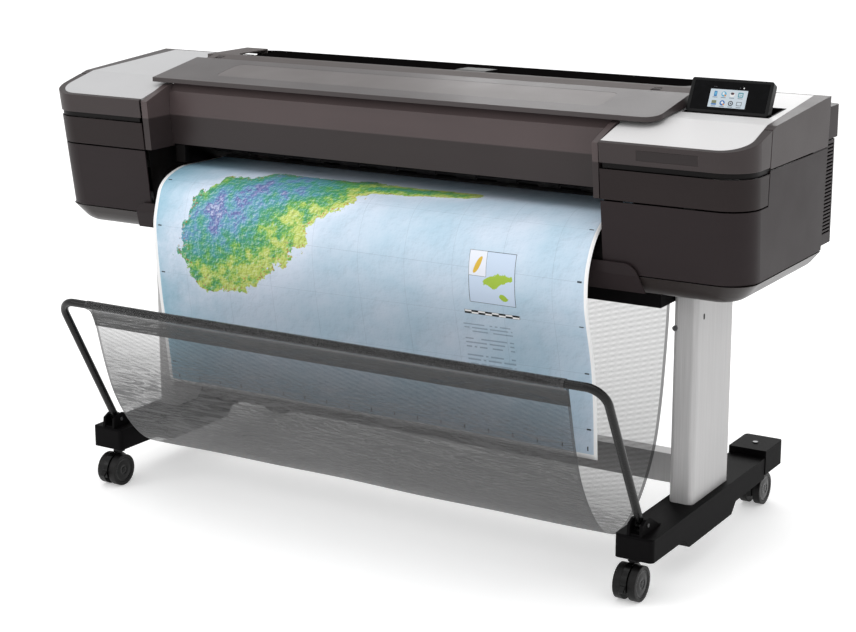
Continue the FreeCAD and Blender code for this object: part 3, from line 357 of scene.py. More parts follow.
def net_cloth(length, half):
    """Open polyester net: yarns, diagonal texture, and a streaky grain where layers cross."""
    yarn_pitch, twill_pitch, stagger_pitch, hem_depth = 0.0022, 0.0115, 0.019, 0.05
    paint = Paint("net_cloth", Roughness=0.55, Specular_IOR_Level=0.35, Sheen_Weight=0.25)
    axes = paint.node("SeparateXYZ", Vector=paint.where("UV"))
    wide, down = axes.outputs["X"], axes.outputs["Y"]
    threads = paint.sum("MAXIMUM", paint.wave(wide, yarn_pitch), paint.wave(down, yarn_pitch))
    yarn = paint.fade(threads, -0.2, 0.6)
    slant = paint.sum("SUBTRACT", down, paint.sum("MULTIPLY", wide, 0.3))
    stagger = paint.fade(paint.wave(wide, stagger_pitch), -1.0, 1.0, 0.3, 1.0)
    cross = paint.sum("MULTIPLY", paint.wave(slant, twill_pitch), stagger)
    streak = paint.noise(9.0, 5.0, 0.6, paint.where("UV", scale=(0.35, 4.2, 1)), warp=1.6)
    grain = paint.sum("SINE", paint.sum("MULTIPLY", streak, 46.0))
    # the belly is made denser, both for the net seen slantwise there and as painted shade inside the basket
    belly = paint.sum("MULTIPLY", paint.fade(down, 0.16, 0.3),
                      paint.fade(down, length - 0.62, length - 0.42, 1.0, 0.0))
    hem = paint.fade(down, hem_depth + 0.008, hem_depth)
    mat = paint.sum("ADD", paint.sum("MULTIPLY", belly, 0.34), paint.sum("MULTIPLY", hem, 0.46))
    cover = paint.sum("ADD", paint.fade(yarn, 0.0, 1.0, 0.34, 0.62), mat)
    wavy = paint.sum("ADD", paint.sum("MULTIPLY", belly, 0.15), paint.sum("MULTIPLY", hem, 0.2))
    woven = paint.sum("SUBTRACT", 0.07, paint.sum("MULTIPLY", belly, 0.05))
    alpha = paint.sum("ADD", paint.sum("ADD", cover, paint.sum("MULTIPLY", grain, wavy)),
                      paint.sum("MULTIPLY", cross, woven), clamp=True)
    selvedge = paint.fade(paint.sum("ABSOLUTE", wide), half - 0.008, half - 0.0065)
    alpha = paint.sum("MAXIMUM", alpha, paint.sum("MULTIPLY", selvedge, 0.8), clamp=True)
    tone = paint.blend(paint.fade(grain, -1.0, 1.0), tint(26, 26, 27), tint(66, 66, 67))
    tone = paint.blend(paint.fade(yarn, 0.0, 1.0, 0.5, 0.0), tone, tint(20, 20, 21))
    dark_hem = paint.sum("MULTIPLY", hem, paint.fade(grain, -1.0, 1.0, 1.0, 0.55))
    tone = paint.blend(dark_hem, tone, tint(9, 9, 10))
    return paint.finish(Base_Color=tone, Alpha=alpha, Normal=paint.relief(yarn, 0.0004, 0.6))


def flowing(points, steps=9):
    """A smooth line through some (y, z) points, by Catmull-Rom."""
    ends = [points[0] * 2 - points[1]] + points + [points[-1] * 2 - points[-2]]
    line = []
    for before, first, second, after in zip(ends, ends[1:], ends[2:], ends[3:]):
        for step in range(steps):
            t = step / steps
            line.append(0.5 * ((2 * first) + (second - before) * t
                               + (2 * before - 5 * first + 4 * second - after) * t * t
                               + (3 * first - before - 3 * second + after) * t ** 3))
    return line + [points[-1]]


def hung_sheet(name, line, far_line, left, right, columns, ripple):
    """A grid across X whose (y, z) line turns into another one; its UV map is in metres."""
    mesh = bpy.data.meshes.new(name)
    travel = [0.0]
    for first, second in zip(line, line[1:]):
        travel.append(travel[-1] + (second - first).length)
    points, places = [], []
    for index, spot in enumerate(line):
        along = (line[min(index + 1, len(line) - 1)] - line[max(index - 1, 0)]).normalized()
        normal = Vector((-along.y, along.x))
        for column in range(columns + 1):
            share = column / columns
            x = left + (right - left) * share
            moved = spot.lerp(far_line[index], share) + normal * ripple(x, travel[index])
            points.append((x, moved.x, moved.y))
            places.append((x, travel[index]))
    row = columns + 1
    faces = [(r * row + c, (r + 1) * row + c, (r + 1) * row + c + 1, r * row + c + 1)
             for r in range(len(line) - 1) for c in range(columns)]
    mesh.from_pydata(points, [], faces)
    layer = mesh.uv_layers.new(name="metres")
    for loop in mesh.loops:
        layer.data[loop.index].uv = places[loop.vertex_index]
    mesh.shade_smooth()
    piece = bpy.data.objects.new(name, mesh)
    bpy.context.scene.collection.objects.link(piece)
    return piece, travel[-1]


def basket_net():
    """The net: hemmed over the bail's bar, down and round the belly, up to the rod behind."""
    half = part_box("basket_mesh")[1].x
    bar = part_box("basket_bail")
    tube = 0.009
    centre = Vector((bar[0].y + tube, bar[1].z - tube))
    wrap = tube + 0.0013
    hem = [Vector((-0.469, 0.432)), Vector((-0.4745, 0.448)), Vector((-0.484, 0.467))]
    over = [centre + wrap * Vector((math.cos(angle), math.sin(angle)))
            for angle in (math.radians(degrees) for degrees in (-128, -170, 150, 110, 70, 30, -8))]
    fall = [Vector(spot) for spot in (
        (-0.4755, 0.460), (-0.4655, 0.422), (-0.4435, 0.338), (-0.4145, 0.258), (-0.369, 0.1835),
        (-0.3145, 0.1270), (-0.250, 0.0975), (-0.1805, 0.1085), (-0.116, 0.160), (-0.066, 0.2345),
        (-0.0395, 0.320), (-0.0235, 0.414), (-0.0135, 0.498), (-0.0095, 0.560))]
    line = flowing(hem + over + fall)

    def ripple(x, down):
        slack = min(1.0, max(0.0, (down - 0.12) / 0.25))
        waves = math.sin(x * 7.3 + down * 5.0) + 0.6 * math.sin(x * 17.0 - down * 9.0 + 1.0)
        return slack * 0.0011 * waves

    net, length = hung_sheet("basket_net", line, line, -half, half, 96, ripple)
    net.data.materials.append(net_cloth(length, half))
    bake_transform(net)
    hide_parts("basket_mesh")


# ---- the print ------------------------------------------------------------

class Chart(Paint):
    """A made-up relief map, drawn on the sheet's own metres."""

    def __init__(self, name):
        super().__init__(name, Specular_IOR_Level=0.35, Coat_Weight=0.12, Coat_Roughness=0.35)
        axes = self.node("SeparateXYZ", Vector=self.where("UV"))
        self.east, self.down = axes.outputs["X"], axes.outputs["Y"]

    def oval(self, x, y, wide, tall, lean):
        """1 in the middle of a slanting oval and 0 on its rim."""
        c, s = math.cos(lean), math.sin(lean)
        across = self.sum("SUBTRACT", self.east, x)
        below = self.sum("SUBTRACT", self.down, y)
        u = self.sum("ADD", self.sum("MULTIPLY", across, c / wide),
                     self.sum("MULTIPLY", below, s / wide))
        v = self.sum("SUBTRACT", self.sum("MULTIPLY", below, c / tall),
                     self.sum("MULTIPLY", across, s / tall))
        spread = self.sum("ADD", self.sum("POWER", u, 2.0), self.sum("POWER", v, 2.0))
        return self.sum("SUBTRACT", 1.0, self.sum("SQRT", spread))

    def frame(self, x, y, wide, tall):
        """1 inside an upright rectangle given by its middle and half sides."""
        inside_x = self.sum("LESS_THAN", self.sum("ABSOLUTE", self.sum("SUBTRACT", self.east, x)), wide)
        inside_y = self.sum("LESS_THAN", self.sum("ABSOLUTE", self.sum("SUBTRACT", self.down, y)), tall)
        return self.sum("MULTIPLY", inside_x, inside_y)

    def rows(self, value, period, share, shift=0.0):
        """1 on evenly spaced stripes across a value."""
        turned = self.sum("DIVIDE", self.sum("ADD", value, shift), period)
        return self.sum("LESS_THAN", self.sum("FRACT", turned), share)

    def slope(self, scale, detail, gain, step=0.0016):
        """Light and shade of a relief lit from one side, and its height."""
        here = self.noise(scale, detail, 0.6, self.where("UV"))
        there = self.noise(scale, detail, 0.6, self.where("UV", shift=(step, step, 0)))
        return self.sum("MULTIPLY", self.sum("SUBTRACT", here, there), gain), here


def coast_level(chart, left, lip):
    """Above 0 on land and below it at sea: one long island of three ovals and an islet, all ragged."""
    ovals = [chart.oval(left + 0.250, lip + 0.160, 0.205, 0.135, -0.70),
             chart.oval(left + 0.390, lip + 0.070, 0.195, 0.078, -0.42),
             chart.oval(left + 0.60, lip + 0.008, 0.22, 0.030, -0.10),
             chart.oval(left + 0.170, lip + 0.312, 0.030, 0.020, -0.5)]
    land = functools.reduce(lambda one, other: chart.sum("MAXIMUM", one, other), ovals)
    coast = chart.noise(11.0, 10.0, 0.66, chart.where("UV"))
    return chart.sum("ADD", land, chart.fade(coast, 0.0, 1.0, -0.75, 0.75))


def ground_colour(chart, level, ashore, left, lip):
    """Plains, woods and high ground along a slanting spine, with specks of towns by the shore."""
    east, down = chart.sum("SUBTRACT", chart.east, left), chart.sum("SUBTRACT", lip + 0.26, chart.down)
    spine = chart.sum("SUBTRACT", chart.sum("MULTIPLY", east, 0.75), down)
    inland = chart.fade(chart.sum("ABSOLUTE", spine), 0.02, 0.15, 0.46, -0.04)
    broken = chart.fade(chart.noise(30.0, 8.0, 0.7, chart.where("UV")), 0.3, 0.7, -0.34, 0.34)
    height = chart.sum("ADD", chart.sum("MULTIPLY", level, 0.42), chart.sum("ADD", inland, broken))
    ground = chart.ramp(height, (0.0, tint(190, 206, 96)), (0.1, tint(140, 186, 70)),
                        (0.2, tint(84, 160, 72)), (0.34, tint(58, 148, 104)), (0.5, tint(70, 152, 150)),
                        (0.64, tint(96, 150, 186)), (0.78, tint(92, 92, 160)), (0.94, tint(200, 214, 236)))
    towns = chart.node("TexVoronoi", {"feature": "F1"}, Vector=chart.where("UV"), Scale=150.0)
    shore = chart.sum("MULTIPLY", chart.fade(level, 0.16, 0.0), ashore)
    specks = chart.sum("MULTIPLY", chart.sum("LESS_THAN", towns.outputs["Distance"], 0.3),
                       chart.sum("GREATER_THAN", shore, 0.35))
    return chart.blend(chart.sum("MULTIPLY", specks, 0.75), ground, tint(198, 92, 48))


def water_colour(chart, level, deep, left):
    """Mottled sea, bluer at the west edge and pale over the shelf round the coast."""
    shelf = chart.sum("POWER", chart.fade(level, -0.85, -0.04), 2.0)
    water = chart.blend(chart.fade(deep, 0.32, 0.66), tint(172, 200, 218), tint(200, 214, 230))
    water = chart.blend(chart.fade(chart.east, left, left + 0.22), tint(138, 182, 202), water)
    return chart.blend(chart.sum("MULTIPLY", shelf, 0.8), water, tint(214, 224, 240))


def map_print(left, right, lip, foot):
    """Colours of the printed map between the sheet's edges; the lip is where it leaves the slot."""
    chart = Chart("map_print")
    middle = (left + right) / 2
    level = coast_level(chart, left, lip)
    ashore = chart.fade(level, 0.0, 0.008)
    hills = chart.slope(95.0, 8.0, 3.2)[0]
    seabed, deep = chart.slope(6.0, 9.0, 3.6)
    colour = chart.blend(ashore, water_colour(chart, level, deep, left),
                         ground_colour(chart, level, ashore, left, lip))
    light = chart.sum("ADD", chart.sum("MULTIPLY", hills, ashore),
                      chart.sum("MULTIPLY", seabed, chart.sum("SUBTRACT", 1.0, ashore)))
    sunlit = chart.sum("MULTIPLY", light, 0.8, clamp=True)
    colour = chart.blend(sunlit, colour, tint(236, 244, 250))
    shadow = chart.sum("MULTIPLY", light, -1.1, clamp=True)
    colour = chart.blend(shadow, colour, tint(34, 60, 78))
    colour = graticule(chart, colour)
    colour = inset_map(chart, colour, middle + 0.335, lip + 0.215)
    colour = scale_bar(chart, colour, middle + 0.33, lip + 0.30)
    colour = small_print(chart, colour, middle + 0.315, lip + 0.375)
    colour = border(chart, colour, left, right, foot)
    fibre = chart.noise(900.0, 3.0, 0.6)
    return chart.finish(Base_Color=colour, Roughness=chart.fade(fibre, 0.3, 0.7, 0.42, 0.55),
                        Normal=chart.relief(fibre, 0.00006, 0.3))


def graticule(chart, colour):
    """Thin grid lines over land and sea."""
    lines = chart.sum("MAXIMUM", chart.rows(chart.east, 0.118, 0.006), chart.rows(chart.down, 0.112, 0.006))
    return chart.blend(chart.sum("MULTIPLY", lines, 0.35), colour, tint(96, 122, 142))


def inset_map(chart, colour, x, y):
    """A framed inset with two small islands and a smaller locator frame."""
    ragged = chart.fade(chart.noise(38.0, 6.0, 0.6, chart.where("UV")), 0.0, 1.0, -0.9, 0.9)
    isles = chart.sum("MAXIMUM", chart.oval(x + 0.012, y - 0.004, 0.03, 0.014, -0.3),
                      chart.oval(x + 0.026, y + 0.034, 0.011, 0.007, 0.5))
    ashore = chart.sum("GREATER_THAN", chart.sum("ADD", isles, ragged), 0.0)
    far = chart.sum("GREATER_THAN", chart.oval(x - 0.034, y - 0.03, 0.005, 0.017, 0.6), 0.0)
    window = chart.frame(x, y, 0.0538, 0.0548)
    colour = chart.blend(chart.frame(x, y, 0.055, 0.056), colour, tint(50, 60, 70))
    colour = chart.blend(window, colour, tint(196, 212, 232))
    colour = chart.blend(chart.sum("MULTIPLY", window, ashore), colour, tint(158, 188, 60))
    corner = chart.frame(x - 0.034, y - 0.033, 0.0202, 0.0222)
    colour = chart.blend(chart.frame(x - 0.034, y - 0.033, 0.021, 0.023), colour, tint(70, 82, 92))
    colour = chart.blend(corner, colour, tint(226, 230, 240))
    return chart.blend(chart.sum("MULTIPLY", corner, far), colour, tint(214, 176, 62))


def scale_bar(chart, colour, x, y):
    """A plain chequered distance bar."""
    frame_mask = chart.frame(x, y, 0.066, 0.0052)
    inner = chart.frame(x, y, 0.0652, 0.0044)
    lower = chart.sum("GREATER_THAN", chart.down, y)
    fields = chart.rows(chart.east, 0.0326, 0.5, chart.sum("MULTIPLY", lower, 0.0163))
    colour = chart.blend(frame_mask, colour, tint(24, 24, 26))
    return chart.blend(chart.sum("MULTIPLY", inner, fields), colour, tint(246, 246, 246))


def small_print(chart, colour, x, y):
    """Grey bars that stand for a block of small print."""
    line_pitch, word_pitch = 0.0092, 0.0062
    block = chart.frame(x, y, 0.058, 0.052)
    lines = chart.rows(chart.down, line_pitch, 0.34)
    row = chart.sum("FLOOR", chart.sum("DIVIDE", chart.down, line_pitch))
    word = chart.sum("FLOOR", chart.sum("DIVIDE", chart.east, word_pitch))
    words = chart.node("TexWhiteNoise", {"noise_dimensions": "2D"},
                       Vector=chart.node("CombineXYZ", X=word, Y=row).outputs[0])
    shown = chart.sum("GREATER_THAN", words.outputs["Value"], 0.22)
    gaps = chart.rows(row, 4.0, 0.7)
    mask = chart.sum("MULTIPLY", chart.sum("MULTIPLY", block, lines), chart.sum("MULTIPLY", shown, gaps))
    return chart.blend(chart.sum("MULTIPLY", mask, 0.5), colour, tint(84, 106, 130))


def border(chart, colour, left, right, foot):
    """The unprinted white margin, with short ticks just inside it."""
    middle, half = (left + right) / 2, (right - left) / 2
    off_middle = chart.sum("ABSOLUTE", chart.sum("SUBTRACT", chart.east, middle))
    from_side = chart.sum("SUBTRACT", half, off_middle)
    from_foot = chart.sum("SUBTRACT", foot, chart.down)
    side_ticks = chart.sum("MULTIPLY", chart.sum("LESS_THAN", from_side, 0.024),
                           chart.rows(chart.down, 0.112, 0.026, 0.0015))
    foot_ticks = chart.sum("MULTIPLY", chart.sum("LESS_THAN", from_foot, 0.022),
                           chart.rows(chart.east, 0.059, 0.05, 0.0015))
    inner = chart.sum("MULTIPLY", chart.sum("GREATER_THAN", from_side, 0.014),
                      chart.sum("GREATER_THAN", from_foot, 0.014))
    ticks = chart.sum("MULTIPLY", chart.sum("MAXIMUM", side_ticks, foot_ticks), inner)
    colour = chart.blend(ticks, colour, tint(30, 40, 52))
    near = chart.sum("MINIMUM", from_side, from_foot)
    return chart.blend(chart.sum("LESS_THAN", near, 0.0085), colour, tint(247, 247, 247))


def bare_paper():
    """The unprinted side and the cut edges of the sheet."""
    paint = Paint("bare_paper", Sheen_Weight=0.08)
    fibre = paint.noise(700.0, 4.0, 0.65)
    tone = paint.blend(paint.fade(fibre, 0.3, 0.7), tint(236, 236, 233), tint(248, 248, 247))
    return paint.finish(Base_Color=tone, Roughness=paint.fade(fibre, 0.3, 0.7, 0.6, 0.75),
                        Normal=paint.relief(fibre, 0.0001, 0.3))


def print_sheet():
    """The finished print: flat over the platen, then a long fall with a soft back curl."""
    low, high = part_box("printed_sheet")
    slot_reach = 0.146
    left_line = [Vector(spot) for spot in (
        (-0.044, 0.7634), (-0.120, 0.7638), (-0.180, 0.7642), (-0.214, 0.7610), (-0.2550, 0.7480),
        (-0.2815, 0.7280), (-0.2940, 0.7000), (-0.3045, 0.6630), (-0.3075, 0.6370), (-0.3050, 0.5890),
        (-0.3000, 0.5300), (-0.2930, 0.4690), (-0.2855, 0.4200), (-0.2740, 0.3380), (-0.2630, 0.2570))]
    right_line = [Vector(spot) for spot in (
        (-0.044, 0.7634), (-0.120, 0.7638), (-0.178, 0.7638), (-0.208, 0.7580), (-0.2390, 0.7415),
        (-0.2600, 0.7230), (-0.2770, 0.7000), (-0.2920, 0.6660), (-0.2980, 0.6300), (-0.2960, 0.5850),
        (-0.2840, 0.5400), (-0.2680, 0.4880), (-0.2550, 0.4350), (-0.2440, 0.3450), (-0.2380, 0.2460))]
    line, far_line = flowing(left_line, 10), flowing(right_line, 10)
    right = high.x + 0.008

    def ripple(x, down):
        loose = min(1.0, max(0.0, (down - 0.25) / 0.3))
        return loose * 0.0016 * (math.sin(x * 5.1 + 0.6) + 0.4 * math.sin(x * 13.0 + down * 8.0))

    sheet, length = hung_sheet("print_sheet", line, far_line, low.x, right, 80, ripple)
    body = sheet.modifiers.new("thickness", "SOLIDIFY")
    body.thickness = 0.00025
    body.offset = 0.0
    body.material_offset = 1
    body.material_offset_rim = 1
    sheet.data.materials.append(map_print(low.x, right, slot_reach, length))
    sheet.data.materials.append(bare_paper())
    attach(sheet, "machine")
    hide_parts("printed_sheet")


# ---- the picture on the display -------------------------------------------

def glow(name, colour):
    """A patch of the lit picture, with the faint grid of its dots."""
    paint = Paint("glow_" + name, Roughness=0.3, Specular_IOR_Level=0.2)
    place = paint.node("SeparateXYZ", Vector=paint.where())
    dots = paint.wave(place.outputs["X"], 0.0009)
    haze = paint.noise(60.0, 2.0)
    tone = paint.blend(paint.fade(dots, -1.0, 1.0, 0.0, 0.12), tint(*colour), scaled(tint(*colour), 0.7))
    tone = paint.blend(paint.fade(haze, 0.3, 0.7, 0.0, 0.1), tone, tint(255, 255, 255))
    return paint.finish(Base_Color=paint.blend(1.0, tone, tint(30, 30, 30), "MULTIPLY"), Emission_Color=tone,
                        Emission_Strength=0.8)


def round_patch(x, y, wide, tall, corner=None, steps=8):
    """The outline of a rectangle with round corners, or of an oval when the corner is left out."""
    reach_x, reach_y = (wide, tall) if corner is None else (corner, corner)
    outline = []
    for quarter, (sx, sy) in enumerate(((1, 1), (-1, 1), (-1, -1), (1, -1))):
        for step in range(steps):
            angle = math.pi / 2 * (quarter + step / (steps - 1))
            outline.append((x + sx * (wide - reach_x) + reach_x * math.cos(angle),
                            y + sy * (tall - reach_y) + reach_y * math.sin(angle)))
    return outline


GLOWS = {
    "page": (214, 228, 238), "blue": (40, 116, 190), "sky": (104, 186, 224), "orange": (238, 150, 56),
    "white": (250, 250, 250), "wine": (112, 34, 48), "dark": (52, 56, 66), "teal": (64, 152, 170),
    "olive": (126, 132, 96), "label": (128, 142, 156), "dim": (92, 92, 98),
}


# icons of the menu by (column, row), each a list of patches in millimetres from its middle:
# (glow, layer, x, y, half width, half height, corner), and without a corner the patch is an oval
ICONS = {
    (0, 0): [("blue", 1, 0, 0, 3.2, 5.6, 1.2), ("sky", 2, 0, 0.6, 2.2, 3.4, 0.5)],
    (1, 0): [("sky", 1, 0, 0, 5.6, 5.6), ("orange", 2, 3.2, -3, 2, 2), ("white", 2, -1, 1, 2.2, 2.6, 0.5)],
    (2, 0): [("white", 1, 0, 0, 5.4, 5.4), ("dark", 2, 0, 2, 4, 2.6), ("wine", 3, 1.6, 1.6, 1.5, 1.5)],
    (3, 0): [("teal", 1, 0, 0, 5.6, 5.2, 1.4), ("page", 2, 0, 0, 3.6, 3, 0.5),
             ("teal", 3, 0, 0, 2.4, 0.6, 0.3)],
    (0, 1): [("olive", 1, 0, 1.4, 5, 3.2, 0.6), ("blue", 1, 0, -3.6, 5.6, 1.6, 0.6)],
    (1, 1): [("blue", 1, 0, 0, 5.6, 5.6), ("white", 2, 0, 0.6, 2.6, 2.6),
             ("orange", 3, 3.4, -3.2, 1.9, 1.9)],
    (2, 1): [("dark", 1, 0, 0, 5.4, 5.4), ("page", 2, 0, 0, 3.3, 3.3), ("dark", 3, 0, 0, 1.7, 1.7)],
    (3, 1): [("dark", 1, 0, 0, 5.6, 4.2, 0.8), ("page", 2, 0, 0, 4.6, 3.2, 0.5)],
}


def picture_shapes():
    """Outlines of the menu, in millimetres from the picture's middle, as (glow, layer, outline)."""
    columns, rows, lamps = (-28, -10, 8, 26), (9.5, -9.5), 24.5
    shapes = [("page", 0, round_patch(0, 0, 40, 19.5, 1.2))]
    shapes += [("label", 1, round_patch(x, y - 7.6, 5.2, 0.8, 0.6)) for x in columns for y in rows]
    for (column, row), patches in ICONS.items():
        shapes += [(name, layer, round_patch(columns[column] + x, rows[row] + y, *size))
                   for name, layer, x, y, *size in patches]
    shapes += [("dim", 0, round_patch(x, lamps, 0.9, 0.9)) for x in (-33, -29, 22)]
    return shapes + [("white", 0, round_patch(30, lamps, 1.5, 1.5))]


def display_picture():
    """The menu shown on the display: thin patches that lie on the cover glass and tilt with it."""
    low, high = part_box("display_screen")
    lean, glass = math.radians(62.5), 0.0012
    up = Vector((0, math.cos(lean), math.sin(lean)))
    out = Vector((0, -math.sin(lean), math.cos(lean)))
    foot = Vector((low.x, low.y, low.z + glass * math.cos(lean)))
    tall = (high.z - foot.z) / math.sin(lean)
    share_x, share_up = 0.479, 0.42     # where the picture's middle is on the glass
    middle = foot + Vector((share_x * (high.x - low.x), 0, 0)) + up * (share_up * tall)
    mesh = bpy.data.meshes.new("display_picture")
    names = list(GLOWS)
    points, faces, slots = [], [], []
    for name, layer, outline in picture_shapes():
        lift = out * (0.0001 + 0.00006 * layer)
        faces.append(tuple(range(len(points), len(points) + len(outline))))
        points += [middle + Vector((x / 1000, 0, 0)) + up * (y / 1000) + lift for x, y in outline]
        slots.append(names.index(name))
    mesh.from_pydata(points, [], faces)
    for name in names:
        mesh.materials.append(glow(name, GLOWS[name]))
    for polygon, slot in zip(mesh.polygons, slots):
        polygon.material_index = slot
    show(mesh, "display")


def show(mesh, body):
    """Put a mesh in the scene as a piece that rides on a body."""
    piece = bpy.data.objects.new(mesh.name, mesh)
    bpy.context.scene.collection.objects.link(piece)
    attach(piece, body)


# ---- small fittings -------------------------------------------------------

def across_axis(axis):
    """An axis and two directions square to it."""
    axis = Vector(axis).normalized()
    side = axis.orthogonal().normalized()
    return axis, side, axis.cross(side)


def skin(points, faces, start, steps):
    """Join the rings of points from start on, and close the last one."""
    for ring in range((len(points) - start) // steps - 1):
        for step in range(steps):
            here, beside = start + ring * steps + step, start + ring * steps + (step + 1) % steps
            faces.append((here, beside, beside + steps, here + steps))
    faces.append(tuple(range(len(points) - steps, len(points))))


def turned(points, faces, profile, centre, axis, steps=40):
    """Add a shape turned about an axis: the profile is (radius, height) from the rim to the middle."""
    axis, side, other = across_axis(axis)
    start = len(points)
    for radius, height in profile:
        for step in range(steps):
            angle = 2 * math.pi * step / steps
            reach = side * math.cos(angle) + other * math.sin(angle)
            points.append(Vector(centre) + axis * height + reach * radius)
    skin(points, faces, start, steps)


def wheel_covers():
    """A domed cover with a raised hub in the outer face of every caster wheel."""
    profile = [(0.0293, -0.0028), (0.0293, -0.0010), (0.0284, -0.0004), (0.0268, -0.0004),
               (0.0260, -0.0012), (0.0240, -0.0013), (0.0205, -0.0007), (0.0150, -0.0003),
               (0.0092, -0.0001), (0.0088, -0.0006), (0.0078, -0.0006), (0.0074, -0.0001),
               (0.0050, 0.0), (0.0022, 0.0)]
    for corner in ("front_left", "front_right", "rear_left", "rear_right"):
        low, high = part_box("caster_wheels_" + corner)
        middle = (low + high) / 2
        points, faces = [], []
        for face, way in ((high.x, 1), (low.x, -1)):
            turned(points, faces, profile, (face, middle.y, middle.z), (way, 0, 0))
        mesh = bpy.data.meshes.new("wheel_covers_" + corner)
        mesh.from_pydata(points, [], faces)
        mesh.shade_smooth()
        mesh.materials.append(finish("caster_plastic"))
        show(mesh, "wheels_" + corner)


def screw(points, faces, centre, axis, radius, steps=48):
    """Add a pan-head screw with a cross recess; rings, slot and depth are shares of its radius."""
    axis, side, other = across_axis(axis)
    rings = [(1.0, 0.0), (1.0, 0.18), (0.9, 0.3), (0.76, 0.36), (0.6, 0.4), (0.56, 0.4), (0.4, 0.41),
             (0.3, 0.41), (0.2, 0.41), (0.1, 0.41)]
    slot_reach, slot_half, slot_depth = 0.58, 0.13, 0.22
    start = len(points)
    for reach, height in rings:
        for step in range(steps):
            angle = 2 * math.pi * step / steps
            across, along = reach * math.cos(angle), reach * math.sin(angle)
            sunk = reach < slot_reach and min(abs(across), abs(along)) < slot_half
            lift = height - (slot_depth if sunk else 0.0)
            points.append(Vector(centre) + (axis * lift + side * across + other * along) * radius)
    skin(points, faces, start, steps)


def rear_screws():
    """The screws that hold the rear panel, the mains inlet and the rear corner shells."""
    big, small, inset, pitch = 0.0042, 0.0032, 0.012, 0.195
    inlet_x, inlet_half, corner_face = -0.50, 0.030, 0.300
    points, faces = [], []
    low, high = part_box("rear_panel")
    for place in range(-3, 4):
        for z in (low.z + inset, high.z - inset):
            screw(points, faces, (place * pitch, high.y, z), (0, 1, 0), big)
    for x in (inlet_x - inlet_half, inlet_x + inlet_half):
        screw(points, faces, (x, high.y, low.z + 0.038), (0, 1, 0), small)
    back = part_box("rear_corners")[1].y
    for x in (-0.80, -0.64, 0.64, 0.80):
        for z in (0.672, 0.852):
            screw(points, faces, (x, corner_face, z), (0, 1, 0), big)
        screw(points, faces, (x, back, 0.914), (0, 1, 0), big)
    mesh = bpy.data.meshes.new("rear_screws")
    mesh.from_pydata(points, [], faces)
    mesh.materials.append(finish("steel"))
    show(mesh, "machine")


def tab(name, centre, along, out, size, body, slot):
    """A small round-cornered pad: half length, half height and rise, on a face with a given normal."""
    along, out = Vector(along).normalized(), Vector(out).normalized()
    rise = out.cross(along)
    half_length, half_height, thickness = size
    corner_steps = 6
    points, faces = [], []
    for shrink, height in ((1.0, 0.0), (1.0, 0.6), (0.94, 0.9), (0.84, 1.0)):
        long, tall = half_length * shrink, half_height * shrink
        outline = round_patch(0, 0, long, tall, tall * 0.9, corner_steps)
        points += [Vector(centre) + along * x + rise * y + out * (thickness * height) for x, y in outline]
    skin(points, faces, 0, 4 * corner_steps)
    mesh = bpy.data.meshes.new(name)
    mesh.from_pydata(points, [], faces)
    mesh.materials.append(finish(slot))
    show(mesh, body)


def small_fittings():
    """The latch tab in the seam of the right-hand door, and the plugs in the legs."""
    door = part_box("right_ink_door")
    tab("door_tab", (0.812, door[0].y + 0.0075, door[1].z - 0.0022), (1, 0.12, 0), (0, -1, 0.04),
        (0.0085, 0.0016, 0.0012), "right_ink_door", "silver_plastic")
    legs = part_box("legs")
    for side, name in ((1, "right"), (-1, "left")):
        outer = legs[1].x if side > 0 else legs[0].x
        tab("leg_slot_" + name, (outer - side * 0.0004, -0.087, 0.544), (0, 0, 1), (side, 0, 0),
            (0.0065, 0.003, 0.0011), "machine", "dark_plastic")


# ---- floor, light and camera ----------------------------------------------

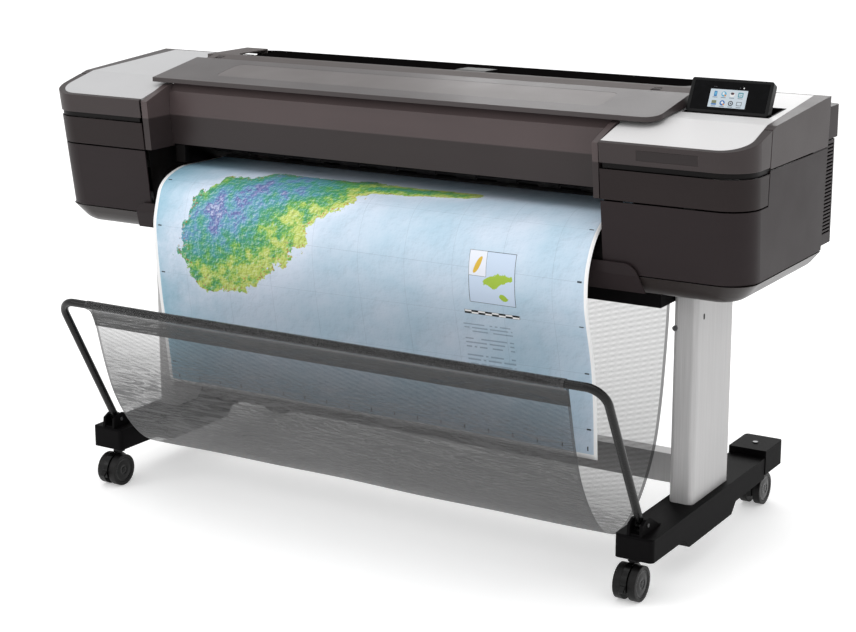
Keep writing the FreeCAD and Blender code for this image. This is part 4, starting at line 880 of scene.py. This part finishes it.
def studio():
    """A pale seamless floor under soft, even light."""
    size = 40.0
    floor_mesh = bpy.data.meshes.new("studio_floor")
    corners = [(-size, -size, 0), (size, -size, 0), (size, size, 0), (-size, size, 0)]
    floor_mesh.from_pydata(corners, [], [(0, 1, 2, 3)])
    floor = bpy.data.objects.new("studio_floor", floor_mesh)
    bpy.context.scene.collection.objects.link(floor)
    paint = Paint("studio_floor", Roughness=0.9, Specular_IOR_Level=0.1)
    cloud = paint.noise(0.8, 2.0)
    pale = paint.blend(cloud, tint(250, 250, 250), tint(253, 253, 253))
    floor.data.materials.append(paint.finish(Base_Color=pale, Emission_Color=pale, Emission_Strength=0.32))
    world = bpy.data.worlds.new("studio_light")
    world.use_nodes = True
    sky = world.node_tree.nodes["Background"]
    sky.inputs["Color"].default_value = (1, 1, 1, 1)
    sky.inputs["Strength"].default_value = 0.9
    bpy.context.scene.world = world
    bpy.context.scene.view_settings.view_transform = "Standard"
    softbox("top_light", (0.0, -0.7, 3.3), (0, 0, 0.7), (3.4, 2.0), 16.0)
    softbox("key_light", (-2.6, -3.6, 2.6), (0, 0, 0.6), (2.2, 1.8), 30.0)
    softbox("side_light", (3.6, -1.4, 1.8), (0.5, 0, 0.6), (1.2, 2.2), 4.0)
    softbox("back_light", (-0.8, 3.4, 1.9), (0.3, 0, 0.95), (2.4, 1.5), 28.0)


def softbox(name, place, target, size, power):
    light = bpy.data.lights.new(name, "AREA")
    light.shape = "RECTANGLE"
    light.size, light.size_y = size
    light.energy = power
    lamp = bpy.data.objects.new(name, light)
    lamp.location = place
    lamp.rotation_euler = (Vector(target) - Vector(place)).to_track_quat("-Z", "Y").to_euler()
    bpy.context.scene.collection.objects.link(lamp)


def camera():
    """The viewpoint: from the front right, a little above the machine."""
    data = bpy.data.cameras.new("view")
    data.lens = 78.8
    data.sensor_width = 36.0
    data.shift_y = -0.0467
    data.clip_end = 100.0
    eye = bpy.data.objects.new("view", data)
    yaw, pitch, roll = 0.5491, 0.2313, -0.0023
    forward = Vector((-math.sin(yaw) * math.cos(pitch), math.cos(yaw) * math.cos(pitch), -math.sin(pitch)))
    eye.location = (2.1905, -3.5897, 1.5163)
    turn = forward.to_track_quat("-Z", "Y").to_matrix() @ Matrix.Rotation(roll, 3, "Z")
    eye.rotation_euler = turn.to_euler()
    bpy.context.scene.collection.objects.link(eye)
    bpy.context.scene.camera = eye


# ---- putting it together --------------------------------------------------

# nodes that look different from the rest of their slot
SPECIAL = {
    "left_ink_door": "door_plastic", "right_ink_door": "door_plastic", "top_covers": "band_plastic",
    "front_bezel": "bezel_plastic", "base_pans": "pan_plastic", "roll_cover": "cover_plastic",
    # inner_frames get near-black plastic; on the liners behind the gaps over the doors it is painted shade
    # that darkens the gaps
    "nameplate": "nameplate_plastic", "inner_frames": "dark_plastic",
}


def paint_nodes():
    """Give each CAD piece its own finish, or the one of its slot in the record."""
    for part in frame["record"]["subparts"]:
        name = SPECIAL.get(part["node"], part["material_slot"])
        if name in MOULDED or name in FINISHES:
            mesh = NODES[part["node"]].data
            mesh.materials.clear()
            mesh.materials.append(finish(name))


paint_nodes()
basket_net()
print_sheet()
display_picture()
wheel_covers()
rear_screws()
small_fittings()
studio()
camera()
